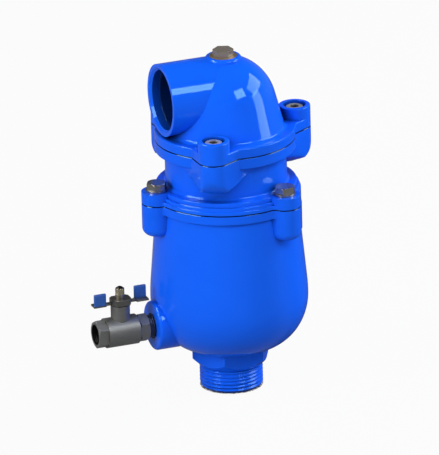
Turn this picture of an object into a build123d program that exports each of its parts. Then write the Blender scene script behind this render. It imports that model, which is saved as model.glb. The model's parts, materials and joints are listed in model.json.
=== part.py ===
from build123d import *
import os
from math import acos, asin, cos, degrees, radians, sin, sqrt, tan

# Combination air release valve with a G2 male inlet and a side drain valve.
# Millimetres. The origin is the middle of the inlet's lower face, on the valve's axis, and +Z is up.
# The outlet elbow and the drain valve point along -X.

# Inlet spigot and its hexagon
thread_r = 29.8
thread_length = 22.5
inlet_bore_r = 24.0
hexagon_across_flats = 67.0
hexagon_foot_r = 30.5
hexagon_buried = 8.0

# Bowl
bowl_r = 74.2
bowl_widest_z = 90.5
bowl_foot_r = 31.0
bowl_foot_z = 40.4
bowl_shoulder_r = 170.0
bowl_taper = 5.0
wall = 7.0

# Joint between bowl and cover
lower_joint_z = 192.0
lower_flange_r = 69.7
body_flange_depth = 8.5
bolt_circle_r = 70.0
lower_lobe_r = 14.4
body_lobe_depth = 28.5
body_lobe_round = 8.0
lobe_corner_r = 5.0
lobe_set_in = 0.2
lobe_root = 40.0
joint_edge = 0.7
flange_count = 3
lower_lobe_angle = 60.0

# Stepped rings on the cover's lower flange
base_ring_height = 4.2
middle_ring_height = 3.2
top_ring_height = 4.2
middle_ring_set_in = 1.3
top_ring_set_in = 3.7
ring_edge = 1.0

# Cover neck and upper flange
neck_r = 57.1
neck_bore_r = 50.0
neck_foot_round = 2.8
neck_head_round = 2.0
upper_joint_z = 247.0
upper_flange_r = 66.0
cover_flange_depth = 10.3
upper_lobe_r = 15.0
flank_angle = 33.0

# Bosses under the upper flange
boss_ramp = 21.0
boss_ramp_foot_z = 210.5
boss_keel_z = 210.5
boss_side_slope = 31.0
boss_keel_r = 14.0
boss_toe_r = 20.0

# Hood
hood_flange_height = 9.5
hood_flange_edge = 1.0
hood_boss_height = 21.0
hood_boss_edge = 1.2
skirt_foot_r = 56.0
skirt_foot_round = 4.0
dome_r = 49.1
dome_z = 277.0
hood_mouth_r = 46.0
hood_mouth_depth = 15.0
hood_wall = 6.0
outlet_z = 292.0
outlet_pipe_r = 34.4
outlet_reach = 63.3
outlet_bore_r = 28.3
outlet_bore_length = 7.2
outlet_chamfer = 2.4
waterway_r = 26.5
top_boss_r = 17.0
top_boss_rise = 1.1
top_boss_round = 2.8
top_boss_depth = 20.0

# Fasteners
m10_r = 5.0
m10_across_flats = 17.0
m10_head_height = 6.4
m10_washer_r = 10.0
m10_washer_thickness = 2.0
flange_bolt_length = 32.0
head_chamfer = 30.0
flange_bolt_turn = 0.0
socket_head_r = 8.0
socket_head_height = 10.0
socket_across_flats = 8.0
socket_depth = 5.0
socket_head_edge = 0.8
counterbore_r = 10.8
counterbore_depth = 11.8
hood_screw_length = 35.0
tapped_spare = 3.0
thread_play = 0.05
hole_play = 0.5

# Top plug
plug_thread_r = 8.3
plug_thread_length = 10.0
plug_across_flats = 17.0
plug_head_height = 6.2
plug_washer_r = 13.05
plug_washer_thickness = 1.0
plug_hexagon_turn = -21.0
spot_face_play = 0.15

# Seals
seal_width = 3.0
seal_depth = 2.4
seal_corner_r = 0.9
seal_play = 0.02
hood_seal_land = 5.0
body_seal_rise = 1.0

# Guide parts clamped between bowl and cover
spigot_r = 62.8
spigot_length = 5.0
spigot_play = 0.2
fit_play = 0.05
spider_thickness = 3.0
spider_ring_width = 7.0
spider_spoke_width = 6.0
spider_hub_r = 10.0
spider_hub_depth = 12.0
spoke_count = 4
bush_r = 6.5
bush_flange_r = 8.5
bush_flange_thickness = 1.2
guide_play = 0.08

# Seat, cage and kinetic plug in the neck
seat_recess_r = 53.5
seat_thickness = 7.5
orifice_r = 25.0
orifice_round = 3.0
seat_seal_inner_r = 26.0
seat_seal_outer_r = 31.0
seat_seal_recess = 2.0
seat_seal_proud = 1.0
cage_top_thickness = 2.5
cage_top_inner_r = 31.5
cage_bar_inner_r = 30.2
cage_bar_depth = 4.0
cage_bar_width = 7.0
cage_bar_count = 4
cage_base_thickness = 4.0
cage_base_hole_r = 18.0
kinetic_plug_r = 29.5
kinetic_plug_thickness = 16.0
crown_r = 21.0
crown_height = 6.0
crown_round = 4.0
plug_edge = 1.5
plug_lift = 18.0
lift_end_gap = 0.4
rest_gap = 0.3

# Small orifice
nozzle_r = 7.0
nozzle_across_flats = 16.0
nozzle_flange_thickness = 3.0
nozzle_tip_r = 3.0
nozzle_tip_drop = 4.5
nozzle_orifice_r = 1.2
float_close = 4.0
nozzle_seal_r = 5.0
nozzle_seal_thickness = 2.5
nozzle_seal_proud = 0.5
rod_head_r = 7.0

# Float
float_r = 50.0
float_bottom_z = 56.0
float_height = 84.0
float_end_rise = 30.0
float_shell = 1.2
rod_r = 4.0
float_boss_r = 9.0
float_boss_height = 6.0
rod_grip = 9.0
rod_nut_across_flats = 13.0
rod_nut_height = 5.0
rest_rib_width = 6.0
rest_rib_inner_r = 26.0
rest_rib_count = 4
rest_rib_angle = 45.0

# Drain boss on the bowl; lengths along the drain line are measured from the valve's axis
drain_z = 70.0
drain_boss_r = 23.4
drain_boss_rise = 4.2
drain_boss_round = 2.5
drain_boss_root = 55.0
drain_recess_r = 12.0
drain_recess_depth = 1.2
drain_thread_r = 10.43

# Blank pad on the far side of the bowl
pad_face = 71.4
pad_width = 20.0
pad_height = 31.0
pad_z = 161.5
pad_corner_r = 3.0

# Drain ball valve
valve_hex_across_flats = 24.0
nipple_show = 5.6
connector_hex_length = 9.5
nipple_engagement = 13.0
valve_barrel_r = 14.2
valve_barrel_length = 32.0
stem_setback = 16.1
outlet_hex_length = 9.6
barrel_chamfer = 1.0
port_r = 7.5
drain_outlet_r = 9.3
drain_outlet_depth = 11.0
ball_r = 11.5
ball_play = 0.1
chamber_r = 12.1
chamber_half = 10.7
seat_overlap = 1.7
valve_hex_turn = 30.0
valve_neck_r = 9.1
valve_neck_top_z = 97.4
stem_r = 4.4
stem_shoulder_height = 3.6
tang_thickness = 3.0
tang_depth = 2.2
tang_width = 8.0
tang_play = 0.1
packing_r = 7.0
packing_height = 5.0
gland_nut_height = 4.0
gland_sink = 0.4

# Handle
handle_gap = 0.4
handle_thickness = 1.8
handle_length = 54.6
handle_arm_width = 4.8
handle_pad_length = 12.1
handle_pad_width = 9.2
hub_length = 18.8
hub_height = 5.6
hub_front = 10.2
hub_back = 6.5
hub_front_width = 12.6
hub_front_taper = 5.7
hub_back_taper = 3.0
wing_length = 10.2
wing_height = 10.4
wing_thickness = 1.6
wing_line = 21.4
sleeve_wall = 0.9
sleeve_corner_r = 1.5
cap_nut_across_flats = 8.0
cap_nut_hex_height = 5.6
cap_nut_dome_height = 2.2
cap_nut_dome_r = 3.7
handle_stud_r = 2.5
handle_stud_length = 5.0

# Heights and radii that follow from the sizes above
middle_ring_top_z = lower_joint_z + base_ring_height + middle_ring_height
lower_flange_top_z = middle_ring_top_z + top_ring_height
hood_flange_top_z = upper_joint_z + hood_flange_height
hood_boss_top_z = upper_joint_z + hood_boss_height
cover_flange_bottom_z = upper_joint_z - cover_flange_depth
spigot_bottom_z = lower_joint_z - spigot_length
spider_bottom_z = spigot_bottom_z - spider_thickness
register_r = spigot_r + spigot_play
body_seal_r = (spigot_r - seal_depth + register_r) / 2
hood_seal_r = seat_recess_r + hood_seal_land
taper = tan(radians(bowl_taper))
cone_start_r = bowl_r - bowl_shoulder_r * (1 - cos(radians(bowl_taper)))
cone_start_z = bowl_widest_z + bowl_shoulder_r * sin(radians(bowl_taper))
cone_end_r = cone_start_r - (lower_joint_z - cone_start_z) * taper
hood_screw_seat_z = hood_boss_top_z - counterbore_depth
seat_bottom_z = upper_joint_z - seat_thickness
recess_floor_z = seat_bottom_z - cage_top_thickness
seal_face_z = seat_bottom_z - seat_seal_proud
plug_top_z = seal_face_z - lift_end_gap - plug_lift
plug_bottom_z = plug_top_z - kinetic_plug_thickness
cage_base_top_z = plug_bottom_z - rest_gap
cage_base_bottom_z = cage_base_top_z - cage_base_thickness
nozzle_tip_z = plug_bottom_z - nozzle_tip_drop
rod_top_z = nozzle_tip_z - rest_gap - float_close
rod_head_top_z = rod_top_z - nozzle_seal_proud
rod_head_bottom_z = spigot_bottom_z + bush_flange_thickness + rest_gap
float_top_z = float_bottom_z + float_height
float_seam_z = float_bottom_z + float_height / 2
float_boss_top_z = float_top_z + float_boss_height
top_boss_z = dome_z + dome_r + top_boss_rise
drain_boss_face = bowl_r + drain_boss_rise
connector_hex_start = drain_boss_face + nipple_show
connector_hex_end = connector_hex_start + connector_hex_length
stem_line = connector_hex_end + stem_setback
barrel_end = connector_hex_end + valve_barrel_length
drain_end = barrel_end + outlet_hex_length
valve_hex_chamfer = valve_hex_across_flats / 2 * tan(radians(head_chamfer))
handle_bottom_z = valve_neck_top_z + handle_gap
handle_top_z = handle_bottom_z + handle_thickness
stem_top_z = handle_bottom_z + hub_height + stem_shoulder_height
cap_nut_top_z = stem_top_z + cap_nut_hex_height + cap_nut_dome_height
cap_nut_curve_r = (cap_nut_dome_r**2 + cap_nut_dome_height**2) / (2 * cap_nut_dome_height)
stem_foot_z = drain_z + ball_r + ball_play
tang_bottom_z = stem_foot_z - tang_depth
packing_bottom_z = valve_neck_top_z - gland_sink - gland_nut_height - packing_height
bolt_seat_z = lower_flange_top_z + m10_washer_thickness
seat_inner = sqrt(ball_r**2 - port_r**2) - seat_overlap
pad_line = (handle_length - handle_pad_length) / 2
wing_offset = handle_pad_width / 2 - wing_thickness / 2

# Planes along the drain line and along the outlet: one across each line, and one in section
# with the distance from the valve's axis as x
outlet_plane = Plane(origin=(0, 0, outlet_z), x_dir=(0, 1, 0), z_dir=(-1, 0, 0))
outlet_section = Plane(origin=(0, 0, outlet_z), x_dir=(-1, 0, 0), z_dir=(0, 1, 0))
drain_plane = Plane(origin=(0, 0, drain_z), x_dir=(0, 1, 0), z_dir=(-1, 0, 0))
drain_section = Plane(origin=(0, 0, drain_z), x_dir=(-1, 0, 0), z_dir=(0, 1, 0))
drain_axis = Axis((0, 0, drain_z), (-1, 0, 0))
stem_section = Plane(origin=(-stem_line, 0, 0), x_dir=(-1, 0, 0), z_dir=(0, 1, 0))
stem_axis = Axis((-stem_line, 0, 0), (0, 0, 1))


def distance_from_axis(shape):
    """Distance of a shape's middle from the valve's axis."""
    return sqrt(shape.center().X ** 2 + shape.center().Y ** 2)


# Outline of a lobe on the lower flange, pointing along +X
with BuildSketch() as lower_lobe:
    with Locations((bolt_circle_r, 0)):
        Circle(lower_lobe_r)
    with Locations((bolt_circle_r, 0)):
        Rectangle(bolt_circle_r - lobe_root, 2 * lower_lobe_r, align=(Align.MAX, Align.CENTER))

# Outline of the lower flange, with small hollow corners where the lobes leave it
with BuildSketch() as lower_outline:
    Circle(lower_flange_r)
    with PolarLocations(bolt_circle_r, flange_count, start_angle=lower_lobe_angle):
        Circle(lower_lobe_r - lobe_set_in)
    fillet(lower_outline.vertices(), lobe_corner_r)

# Outline of a lobe on the upper flange, pointing along +X: its flanks run in to a chord of the neck
chord_x = neck_r * cos(radians(flank_angle))
chord_y = neck_r * sin(radians(flank_angle))
flank_reach = sqrt((bolt_circle_r - chord_x) ** 2 + chord_y**2)
flank_turn = acos((bolt_circle_r - chord_x) / flank_reach) + acos(upper_lobe_r / flank_reach)
touch_x = bolt_circle_r - upper_lobe_r * cos(flank_turn)
touch_y = upper_lobe_r * sin(flank_turn)
with BuildSketch() as upper_lobe:
    with BuildLine():
        Polyline((touch_x, touch_y), (chord_x, chord_y), (0, 0), (chord_x, -chord_y), (touch_x, -touch_y))
        ThreePointArc((touch_x, touch_y), (bolt_circle_r + upper_lobe_r, 0), (touch_x, -touch_y))
    make_face()

# Outline of the upper flange
inner_lobe = offset(upper_lobe.sketch, -lobe_set_in, mode=Mode.PRIVATE)
with BuildSketch() as upper_outline:
    Circle(upper_flange_r)
    with PolarLocations(0, flange_count):
        add(inner_lobe)
    fillet(
        upper_outline.vertices().filter_by(
            lambda v: abs(distance_from_axis(v) - upper_flange_r) < joint_edge
        ),
        lobe_corner_r,
    )

# One of the body's deep lobes, rounded underneath
with BuildPart() as body_lobe:
    with BuildSketch(Plane.XY.offset(lower_joint_z)):
        add(lower_lobe.sketch)
    extrude(amount=-body_lobe_depth)
    fillet(body_lobe.faces().sort_by(Axis.Z)[0].edges().sort_by(Axis.X)[1:], body_lobe_round)
    chamfer(body_lobe.faces().sort_by(Axis.Z)[-1].edges().sort_by(Axis.X)[1:], joint_edge)

# The body's flange with its lobes
with BuildPart() as body_flange:
    with BuildSketch(Plane.XY.offset(lower_joint_z)):
        add(lower_outline.sketch)
    extrude(amount=-body_flange_depth)
    chamfer(body_flange.faces().sort_by(Axis.Z)[-1].edges(), joint_edge)
    with PolarLocations(0, flange_count, start_angle=lower_lobe_angle):
        add(body_lobe.part)

# One of the ribs in the bowl that the float rests on when the valve is empty
float_end_z = float_bottom_z + float_end_rise
rest_rib_top_z = float_end_z - float_end_rise * sqrt(1 - (rest_rib_inner_r / float_r) ** 2) - rest_gap
with BuildPart() as rest_rib:
    with BuildSketch(Plane.XZ):
        with Locations((rest_rib_inner_r, rest_rib_top_z)):
            Rectangle(bowl_r - rest_rib_inner_r, rest_rib_top_z - bowl_foot_z, align=(Align.MIN, Align.MAX))
        with Locations((bowl_foot_r, bowl_widest_z)):
            Ellipse(
                bowl_r - bowl_foot_r - wall / 2,
                bowl_widest_z - bowl_foot_z - wall / 2,
                mode=Mode.INTERSECT,
            )
    extrude(amount=rest_rib_width / 2, both=True)

# Boss for the drain valve
with BuildPart() as drain_boss:
    with BuildSketch(drain_plane.offset(drain_boss_root)):
        Circle(drain_boss_r)
    extrude(amount=drain_boss_face - drain_boss_root)
    fillet(drain_boss.faces().sort_by(Axis.X)[0].edges(), drain_boss_round)

# Valve body: spigot, hexagon, bowl, flange with three deep lobes, drain boss and blank pad, in one casting
with BuildPart() as valve_body:
    with BuildSketch(Plane.XZ):
        with BuildLine():
            Polyline(
                (bowl_foot_r, bowl_foot_z),
                (bowl_foot_r, thread_length),
                (thread_r, thread_length),
                (thread_r, 0),
                (0, 0),
                (0, lower_joint_z),
                (cone_end_r, lower_joint_z),
                (cone_start_r, cone_start_z),
            )
            EllipticalCenterArc(
                (bowl_foot_r, bowl_widest_z),
                bowl_r - bowl_foot_r,
                bowl_widest_z - bowl_foot_z,
                start_angle=-90,
                arc_size=90,
            )
            RadiusArc((bowl_r, bowl_widest_z), (cone_start_r, cone_start_z), -bowl_shoulder_r)
        make_face()
    revolve(axis=Axis.Z)
    with BuildSketch(Plane.XY.offset(thread_length)):
        RegularPolygon(hexagon_across_flats / 2, 6, major_radius=False)
    extrude(amount=bowl_foot_z + hexagon_buried - thread_length)
    with BuildSketch(Plane.XZ):
        Polygon(
            (hexagon_foot_r, thread_length),
            (hexagon_across_flats, thread_length),
            (hexagon_across_flats, thread_length + hexagon_across_flats - hexagon_foot_r),
        )
    revolve(axis=Axis.Z, mode=Mode.SUBTRACT)
    add(body_flange.part)
    # Drain boss and blank pad
    add(drain_boss.part)
    with BuildSketch(Plane(origin=(pad_face, 0, pad_z), x_dir=(0, 1, 0), z_dir=(1, 0, 0))):
        RectangleRounded(pad_width, pad_height, pad_corner_r)
    extrude(amount=-(pad_face - cone_end_r + wall / 2))
    # Hollow of the bowl, with the register for the cover
    with BuildSketch(Plane.XZ):
        with BuildLine():
            Polyline(
                (bowl_foot_r, bowl_foot_z + wall),
                (inlet_bore_r, bowl_foot_z + wall),
                (inlet_bore_r, 0),
                (0, 0),
                (0, lower_joint_z),
                (register_r, lower_joint_z),
                (register_r, spider_bottom_z),
                (cone_start_r - (spider_bottom_z - cone_start_z) * taper - wall, spider_bottom_z),
                (cone_start_r - wall, cone_start_z),
            )
            EllipticalCenterArc(
                (bowl_foot_r, bowl_widest_z),
                bowl_r - bowl_foot_r - wall,
                bowl_widest_z - bowl_foot_z - wall,
                start_angle=-90,
                arc_size=90,
            )
            RadiusArc((bowl_r - wall, bowl_widest_z), (cone_start_r - wall, cone_start_z), -bowl_shoulder_r)
        make_face()
    revolve(axis=Axis.Z, mode=Mode.SUBTRACT)
    with PolarLocations(0, rest_rib_count, start_angle=rest_rib_angle):
        add(rest_rib.part)
    # Tapped holes in the lobes and the drain's thread
    with BuildSketch(Plane.XY.offset(lower_joint_z)):
        with PolarLocations(bolt_circle_r, flange_count, start_angle=lower_lobe_angle):
            Circle(m10_r + thread_play)
    extrude(amount=bolt_seat_z - lower_joint_z - flange_bolt_length - tapped_spare, mode=Mode.SUBTRACT)
    with BuildSketch(drain_plane.offset(drain_boss_face)):
        Circle(drain_recess_r)
    extrude(amount=-drain_recess_depth, mode=Mode.SUBTRACT)
    with BuildSketch(drain_plane.offset(drain_boss_face)):
        Circle(drain_thread_r + thread_play)
    extrude(amount=-(drain_boss_face - drain_boss_root), mode=Mode.SUBTRACT)

# One of the bosses under the upper flange. Its outline in plan is cut by a ramp that rises outwards and by a
# keel that rises to both sides.
boss_front = bolt_circle_r + upper_lobe_r
with BuildPart() as cover_boss:
    with BuildSketch(Plane.XY.offset(upper_joint_z)):
        add(upper_lobe.sketch)
    extrude(amount=boss_ramp_foot_z - upper_joint_z)
    chamfer(cover_boss.faces().sort_by(Axis.Z)[-1].edges().sort_by(Axis.X)[-3:], joint_edge)
    with BuildSketch(Plane.XZ) as boss_side:
        Polygon(
            (0, upper_joint_z),
            (0, boss_ramp_foot_z),
            (neck_r, boss_ramp_foot_z),
            (boss_front, boss_ramp_foot_z + (boss_front - neck_r) * tan(radians(boss_ramp))),
            (boss_front, upper_joint_z),
        )
        fillet(boss_side.vertices().group_by(Axis.X)[-1].sort_by(Axis.Y)[0], boss_toe_r)
    extrude(amount=boss_front, both=True, mode=Mode.INTERSECT)
    with BuildSketch(Plane.YZ) as boss_keel:
        Polygon(
            (0, boss_keel_z),
            (boss_front, boss_keel_z + boss_front * tan(radians(boss_side_slope))),
            (boss_front, upper_joint_z + boss_front),
            (-boss_front, upper_joint_z + boss_front),
            (-boss_front, boss_keel_z + boss_front * tan(radians(boss_side_slope))),
        )
        fillet(boss_keel.vertices().sort_by(Axis.Y)[0], boss_keel_r)
    extrude(amount=boss_front, both=True, mode=Mode.INTERSECT)

# One of the lobes on the cover's lower flange
with BuildPart() as cover_lobe:
    with BuildSketch(Plane.XY.offset(lower_joint_z)):
        add(lower_lobe.sketch)
    extrude(amount=lower_flange_top_z - lower_joint_z)
    chamfer(cover_lobe.faces().sort_by(Axis.Z)[0].edges().sort_by(Axis.X)[1:], joint_edge)

# The lowest ring of the cover's lower flange
with BuildPart() as cover_base:
    with BuildSketch(Plane.XY.offset(lower_joint_z)):
        add(lower_outline.sketch)
    extrude(amount=base_ring_height)
    fillet(cover_base.faces().sort_by(Axis.Z)[-1].edges(), ring_edge)
    chamfer(cover_base.faces().sort_by(Axis.Z)[0].edges(), joint_edge)

# The cover's upper flange
with BuildPart() as cover_head:
    with BuildSketch(Plane.XY.offset(upper_joint_z)):
        add(upper_outline.sketch)
    extrude(amount=-cover_flange_depth)
    chamfer(cover_head.faces().sort_by(Axis.Z)[-1].edges(), joint_edge)

# Cover: stepped lower flange with lobes, neck, upper flange, and the bosses that the hood's screws go into
with BuildPart() as cover:
    with BuildSketch(Plane.XZ) as cover_section:
        Polygon(
            (0, lower_joint_z + base_ring_height / 2),
            (lower_flange_r - middle_ring_set_in, lower_joint_z + base_ring_height / 2),
            (lower_flange_r - middle_ring_set_in, middle_ring_top_z),
            (lower_flange_r - top_ring_set_in, middle_ring_top_z),
            (lower_flange_r - top_ring_set_in, lower_flange_top_z),
            (neck_r, lower_flange_top_z),
            (neck_r, upper_joint_z - joint_edge),
            (0, upper_joint_z - joint_edge),
        )
        top_rim = cover_section.vertices().filter_by(lambda v: abs(v.Y - lower_flange_top_z) < ring_edge)
        fillet(top_rim.sort_by(Axis.X)[-1], ring_edge)
        middle_rim = cover_section.vertices().filter_by(lambda v: abs(v.Y - middle_ring_top_z) < ring_edge)
        fillet(middle_rim.sort_by(Axis.X)[-1], ring_edge)
        neck_foot = cover_section.vertices().filter_by(lambda v: abs(v.X - neck_r) < ring_edge)
        fillet(neck_foot.sort_by(Axis.Y)[0], neck_foot_round)
    revolve(axis=Axis.Z)
    add(cover_base.part)
    add(cover_head.part)
    with PolarLocations(0, flange_count):
        add(cover_boss.part)
    with PolarLocations(0, flange_count, start_angle=lower_lobe_angle):
        add(cover_lobe.part)
    # Spigot that centres the cover in the body, then the hollow with the seat's recess at its top
    with BuildSketch(Plane.XY.offset(spigot_bottom_z)):
        Circle(spigot_r)
    extrude(amount=spigot_length)
    with BuildSketch(Plane.XZ):
        Polygon(
            (0, spigot_bottom_z),
            (neck_bore_r, spigot_bottom_z),
            (neck_bore_r, recess_floor_z),
            (seat_recess_r, recess_floor_z),
            (seat_recess_r, upper_joint_z),
            (0, upper_joint_z),
        )
        with Locations((spigot_r, spigot_bottom_z + body_seal_rise)):
            Rectangle(2 * seal_depth, seal_width, align=(Align.CENTER, Align.MIN))
        with Locations((hood_seal_r, upper_joint_z)):
            Rectangle(seal_width, 2 * seal_depth)
    revolve(axis=Axis.Z, mode=Mode.SUBTRACT)
    # Clearance holes for the flange bolts and tapped holes for the hood's screws
    with BuildSketch(Plane.XY.offset(lower_joint_z)):
        with PolarLocations(bolt_circle_r, flange_count, start_angle=lower_lobe_angle):
            Circle(m10_r + hole_play)
    extrude(amount=lower_flange_top_z - lower_joint_z, mode=Mode.SUBTRACT)
    with BuildSketch(Plane.XY.offset(upper_joint_z)):
        with PolarLocations(bolt_circle_r, flange_count):
            Circle(m10_r + thread_play)
    extrude(amount=hood_screw_seat_z - upper_joint_z - hood_screw_length - tapped_spare, mode=Mode.SUBTRACT)

# Hood flange with its three counterbored bosses
with BuildPart() as hood_flange:
    with BuildSketch(Plane.XY.offset(upper_joint_z)):
        add(upper_outline.sketch)
    extrude(amount=hood_flange_height)
    fillet(hood_flange.faces().sort_by(Axis.Z)[-1].edges(), hood_flange_edge)
    chamfer(hood_flange.faces().sort_by(Axis.Z)[0].edges(), joint_edge)
with BuildPart() as hood_boss:
    with BuildSketch(Plane.XY.offset(upper_joint_z)):
        with Locations((bolt_circle_r, 0)):
            Circle(upper_lobe_r)
    extrude(amount=hood_boss_height)
    fillet(hood_boss.faces().sort_by(Axis.Z)[-1].edges(), hood_boss_edge)
    chamfer(hood_boss.faces().sort_by(Axis.Z)[0].edges(), joint_edge)

# Boss of the top plug
with BuildPart() as top_boss:
    with BuildSketch(Plane.XY.offset(top_boss_z)):
        Circle(top_boss_r)
    extrude(amount=-top_boss_depth)
    fillet(top_boss.faces().sort_by(Axis.Z)[-1].edges(), top_boss_round)

# Hood: flange, skirt that runs tangent into the dome, outlet elbow and the boss of the top plug
skirt_reach = sqrt(skirt_foot_r**2 + (dome_z - hood_flange_top_z) ** 2)
skirt_turn = acos(dome_r / skirt_reach) - asin((dome_z - hood_flange_top_z) / skirt_reach)
skirt_top_r = dome_r * cos(skirt_turn)
skirt_top_z = dome_z + dome_r * sin(skirt_turn)
with BuildPart() as hood:
    with BuildSketch(Plane.XZ) as hood_section:
        with BuildLine():
            Polyline(
                (0, dome_z + dome_r),
                (0, upper_joint_z + joint_edge),
                (upper_flange_r - neck_head_round, upper_joint_z + joint_edge),
                (upper_flange_r - neck_head_round, hood_flange_top_z),
                (skirt_foot_r, hood_flange_top_z),
                (skirt_top_r, skirt_top_z),
            )
            CenterArc((0, dome_z), dome_r, degrees(skirt_turn), 90 - degrees(skirt_turn))
        make_face()
        skirt_foot = hood_section.vertices().filter_by(lambda v: abs(v.X - skirt_foot_r) < ring_edge)
        fillet(skirt_foot.sort_by(Axis.Y)[0], skirt_foot_round)
    revolve(axis=Axis.Z)
    add(hood_flange.part)
    with PolarLocations(0, flange_count):
        add(hood_boss.part)
    with BuildSketch(outlet_plane):
        Circle(outlet_pipe_r)
    extrude(amount=outlet_reach)
    add(top_boss.part)
    # Hollow: mouth, inside of the dome, waterway and the socket in the outlet
    with BuildSketch(Plane.XZ):
        with BuildLine():
            Polyline(
                (0, dome_z + dome_r - hood_wall),
                (0, upper_joint_z),
                (hood_mouth_r, upper_joint_z),
                (hood_mouth_r, upper_joint_z + hood_mouth_depth),
                (dome_r - hood_wall, dome_z),
            )
            CenterArc((0, dome_z), dome_r - hood_wall, 0, 90)
        make_face()
    revolve(axis=Axis.Z, mode=Mode.SUBTRACT)
    with BuildSketch(outlet_section):
        Polygon(
            (0, 0),
            (outlet_reach, 0),
            (outlet_reach, outlet_bore_r + outlet_chamfer),
            (outlet_reach - outlet_chamfer, outlet_bore_r),
            (outlet_reach - outlet_chamfer - outlet_bore_length, outlet_bore_r),
            (outlet_reach - outlet_chamfer - outlet_bore_length, waterway_r),
            (0, waterway_r),
        )
    revolve(axis=Axis((0, 0, outlet_z), (-1, 0, 0)), mode=Mode.SUBTRACT)
    # Screw holes with their counterbores, and the plug's tapped hole
    with Locations((0, 0, hood_boss_top_z)):
        with PolarLocations(bolt_circle_r, flange_count):
            CounterBoreHole(m10_r + hole_play, counterbore_r, counterbore_depth, depth=hood_boss_height)
    with Locations((0, 0, top_boss_z)):
        CounterBoreHole(
            plug_thread_r + thread_play,
            plug_washer_r + spot_face_play,
            plug_washer_thickness,
            depth=top_boss_depth,
        )


# Flange bolts with washers, and the hood's socket screws
with BuildPart() as flange_bolt:
    with BuildSketch(Plane.XY.offset(bolt_seat_z)):
        with Locations((bolt_circle_r, 0)):
            RegularPolygon(m10_across_flats / 2, 6, major_radius=False, rotation=flange_bolt_turn)
    extrude(amount=m10_head_height)
    with BuildSketch(Plane.XZ):
        with Locations((bolt_circle_r, bolt_seat_z + m10_head_height)):
            Polygon(
                (-m10_across_flats, 0),
                (-m10_across_flats / 2, 0),
                (-m10_across_flats, -m10_across_flats / 2 * tan(radians(head_chamfer))),
            )
    revolve(axis=Axis((bolt_circle_r, 0, 0), (0, 0, 1)), mode=Mode.SUBTRACT)
    with BuildSketch(Plane.XY.offset(bolt_seat_z)):
        with Locations((bolt_circle_r, 0)):
            Circle(m10_r)
    extrude(amount=-flange_bolt_length)
with BuildPart() as flange_bolts:
    with PolarLocations(0, flange_count, start_angle=lower_lobe_angle):
        add(flange_bolt.part)
with BuildPart() as flange_washers:
    with BuildSketch(Plane.XY.offset(lower_flange_top_z)):
        with PolarLocations(bolt_circle_r, flange_count, start_angle=lower_lobe_angle):
            Circle(m10_washer_r)
            Circle(m10_r + hole_play, mode=Mode.SUBTRACT)
    extrude(amount=m10_washer_thickness)
with BuildPart() as hood_screw:
    with BuildSketch(Plane.XY.offset(hood_screw_seat_z)):
        with Locations((bolt_circle_r, 0)):
            Circle(socket_head_r)
    extrude(amount=socket_head_height)
    fillet(hood_screw.faces().sort_by(Axis.Z)[-1].edges(), socket_head_edge)
    with BuildSketch(Plane.XY.offset(hood_screw_seat_z + socket_head_height)):
        with Locations((bolt_circle_r, 0)):
            RegularPolygon(socket_across_flats / 2, 6, major_radius=False)
    extrude(amount=-socket_depth, mode=Mode.SUBTRACT)
    with BuildSketch(Plane.XY.offset(hood_screw_seat_z)):
        with Locations((bolt_circle_r, 0)):
            Circle(m10_r)
    extrude(amount=-hood_screw_length)
with BuildPart() as hood_screws:
    with PolarLocations(0, flange_count):
        add(hood_screw.part)

# Top plug and its washer, which lies flush in the boss
with BuildPart() as top_plug_washer:
    with BuildSketch(Plane.XY.offset(top_boss_z)):
        Circle(plug_washer_r)
        Circle(plug_thread_r + thread_play, mode=Mode.SUBTRACT)
    extrude(amount=-plug_washer_thickness)
with BuildPart() as top_plug:
    with BuildSketch(Plane.XY.offset(top_boss_z)):
        RegularPolygon(plug_across_flats / 2, 6, major_radius=False, rotation=plug_hexagon_turn)
    extrude(amount=plug_head_height)
    with BuildSketch(Plane.XY.offset(top_boss_z)):
        Circle(plug_thread_r)
    extrude(amount=-plug_washer_thickness - plug_thread_length)

# Seals, drawn as they lie squeezed in their grooves
with BuildPart() as body_o_ring:
    with BuildSketch(Plane.XZ):
        with Locations((body_seal_r, spigot_bottom_z + body_seal_rise + seal_width / 2)):
            RectangleRounded(
                register_r - spigot_r + seal_depth - 2 * seal_play, seal_width - 2 * seal_play, seal_corner_r
            )
    revolve(axis=Axis.Z)
with BuildPart() as hood_o_ring:
    with BuildSketch(Plane.XZ):
        with Locations((hood_seal_r, upper_joint_z - seal_depth / 2)):
            RectangleRounded(seal_width - 2 * seal_play, seal_depth - 2 * seal_play, seal_corner_r)
    revolve(axis=Axis.Z)

# Guide for the float's rod, clamped between body and cover, and its bush
with BuildPart() as guide_spider:
    with BuildSketch(Plane.XY.offset(spider_bottom_z)):
        Circle(spigot_r)
        Circle(spigot_r - spider_ring_width, mode=Mode.SUBTRACT)
        with PolarLocations(0, spoke_count):
            Rectangle(spigot_r - spider_ring_width / 2, spider_spoke_width, align=(Align.MIN, Align.CENTER))
    extrude(amount=spider_thickness)
    with BuildSketch(Plane.XY.offset(spigot_bottom_z)):
        Circle(spider_hub_r)
    extrude(amount=-spider_hub_depth)
    with BuildSketch(Plane.XY.offset(spigot_bottom_z)):
        Circle(bush_r)
    extrude(amount=-spider_hub_depth, mode=Mode.SUBTRACT)
with BuildPart() as guide_bush:
    with BuildSketch(Plane.XZ):
        Polygon(
            (rod_r + guide_play, spigot_bottom_z - spider_hub_depth),
            (bush_r, spigot_bottom_z - spider_hub_depth),
            (bush_r, spigot_bottom_z),
            (bush_flange_r, spigot_bottom_z),
            (bush_flange_r, spigot_bottom_z + bush_flange_thickness),
            (rod_r + guide_play, spigot_bottom_z + bush_flange_thickness),
        )
    revolve(axis=Axis.Z)

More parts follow.
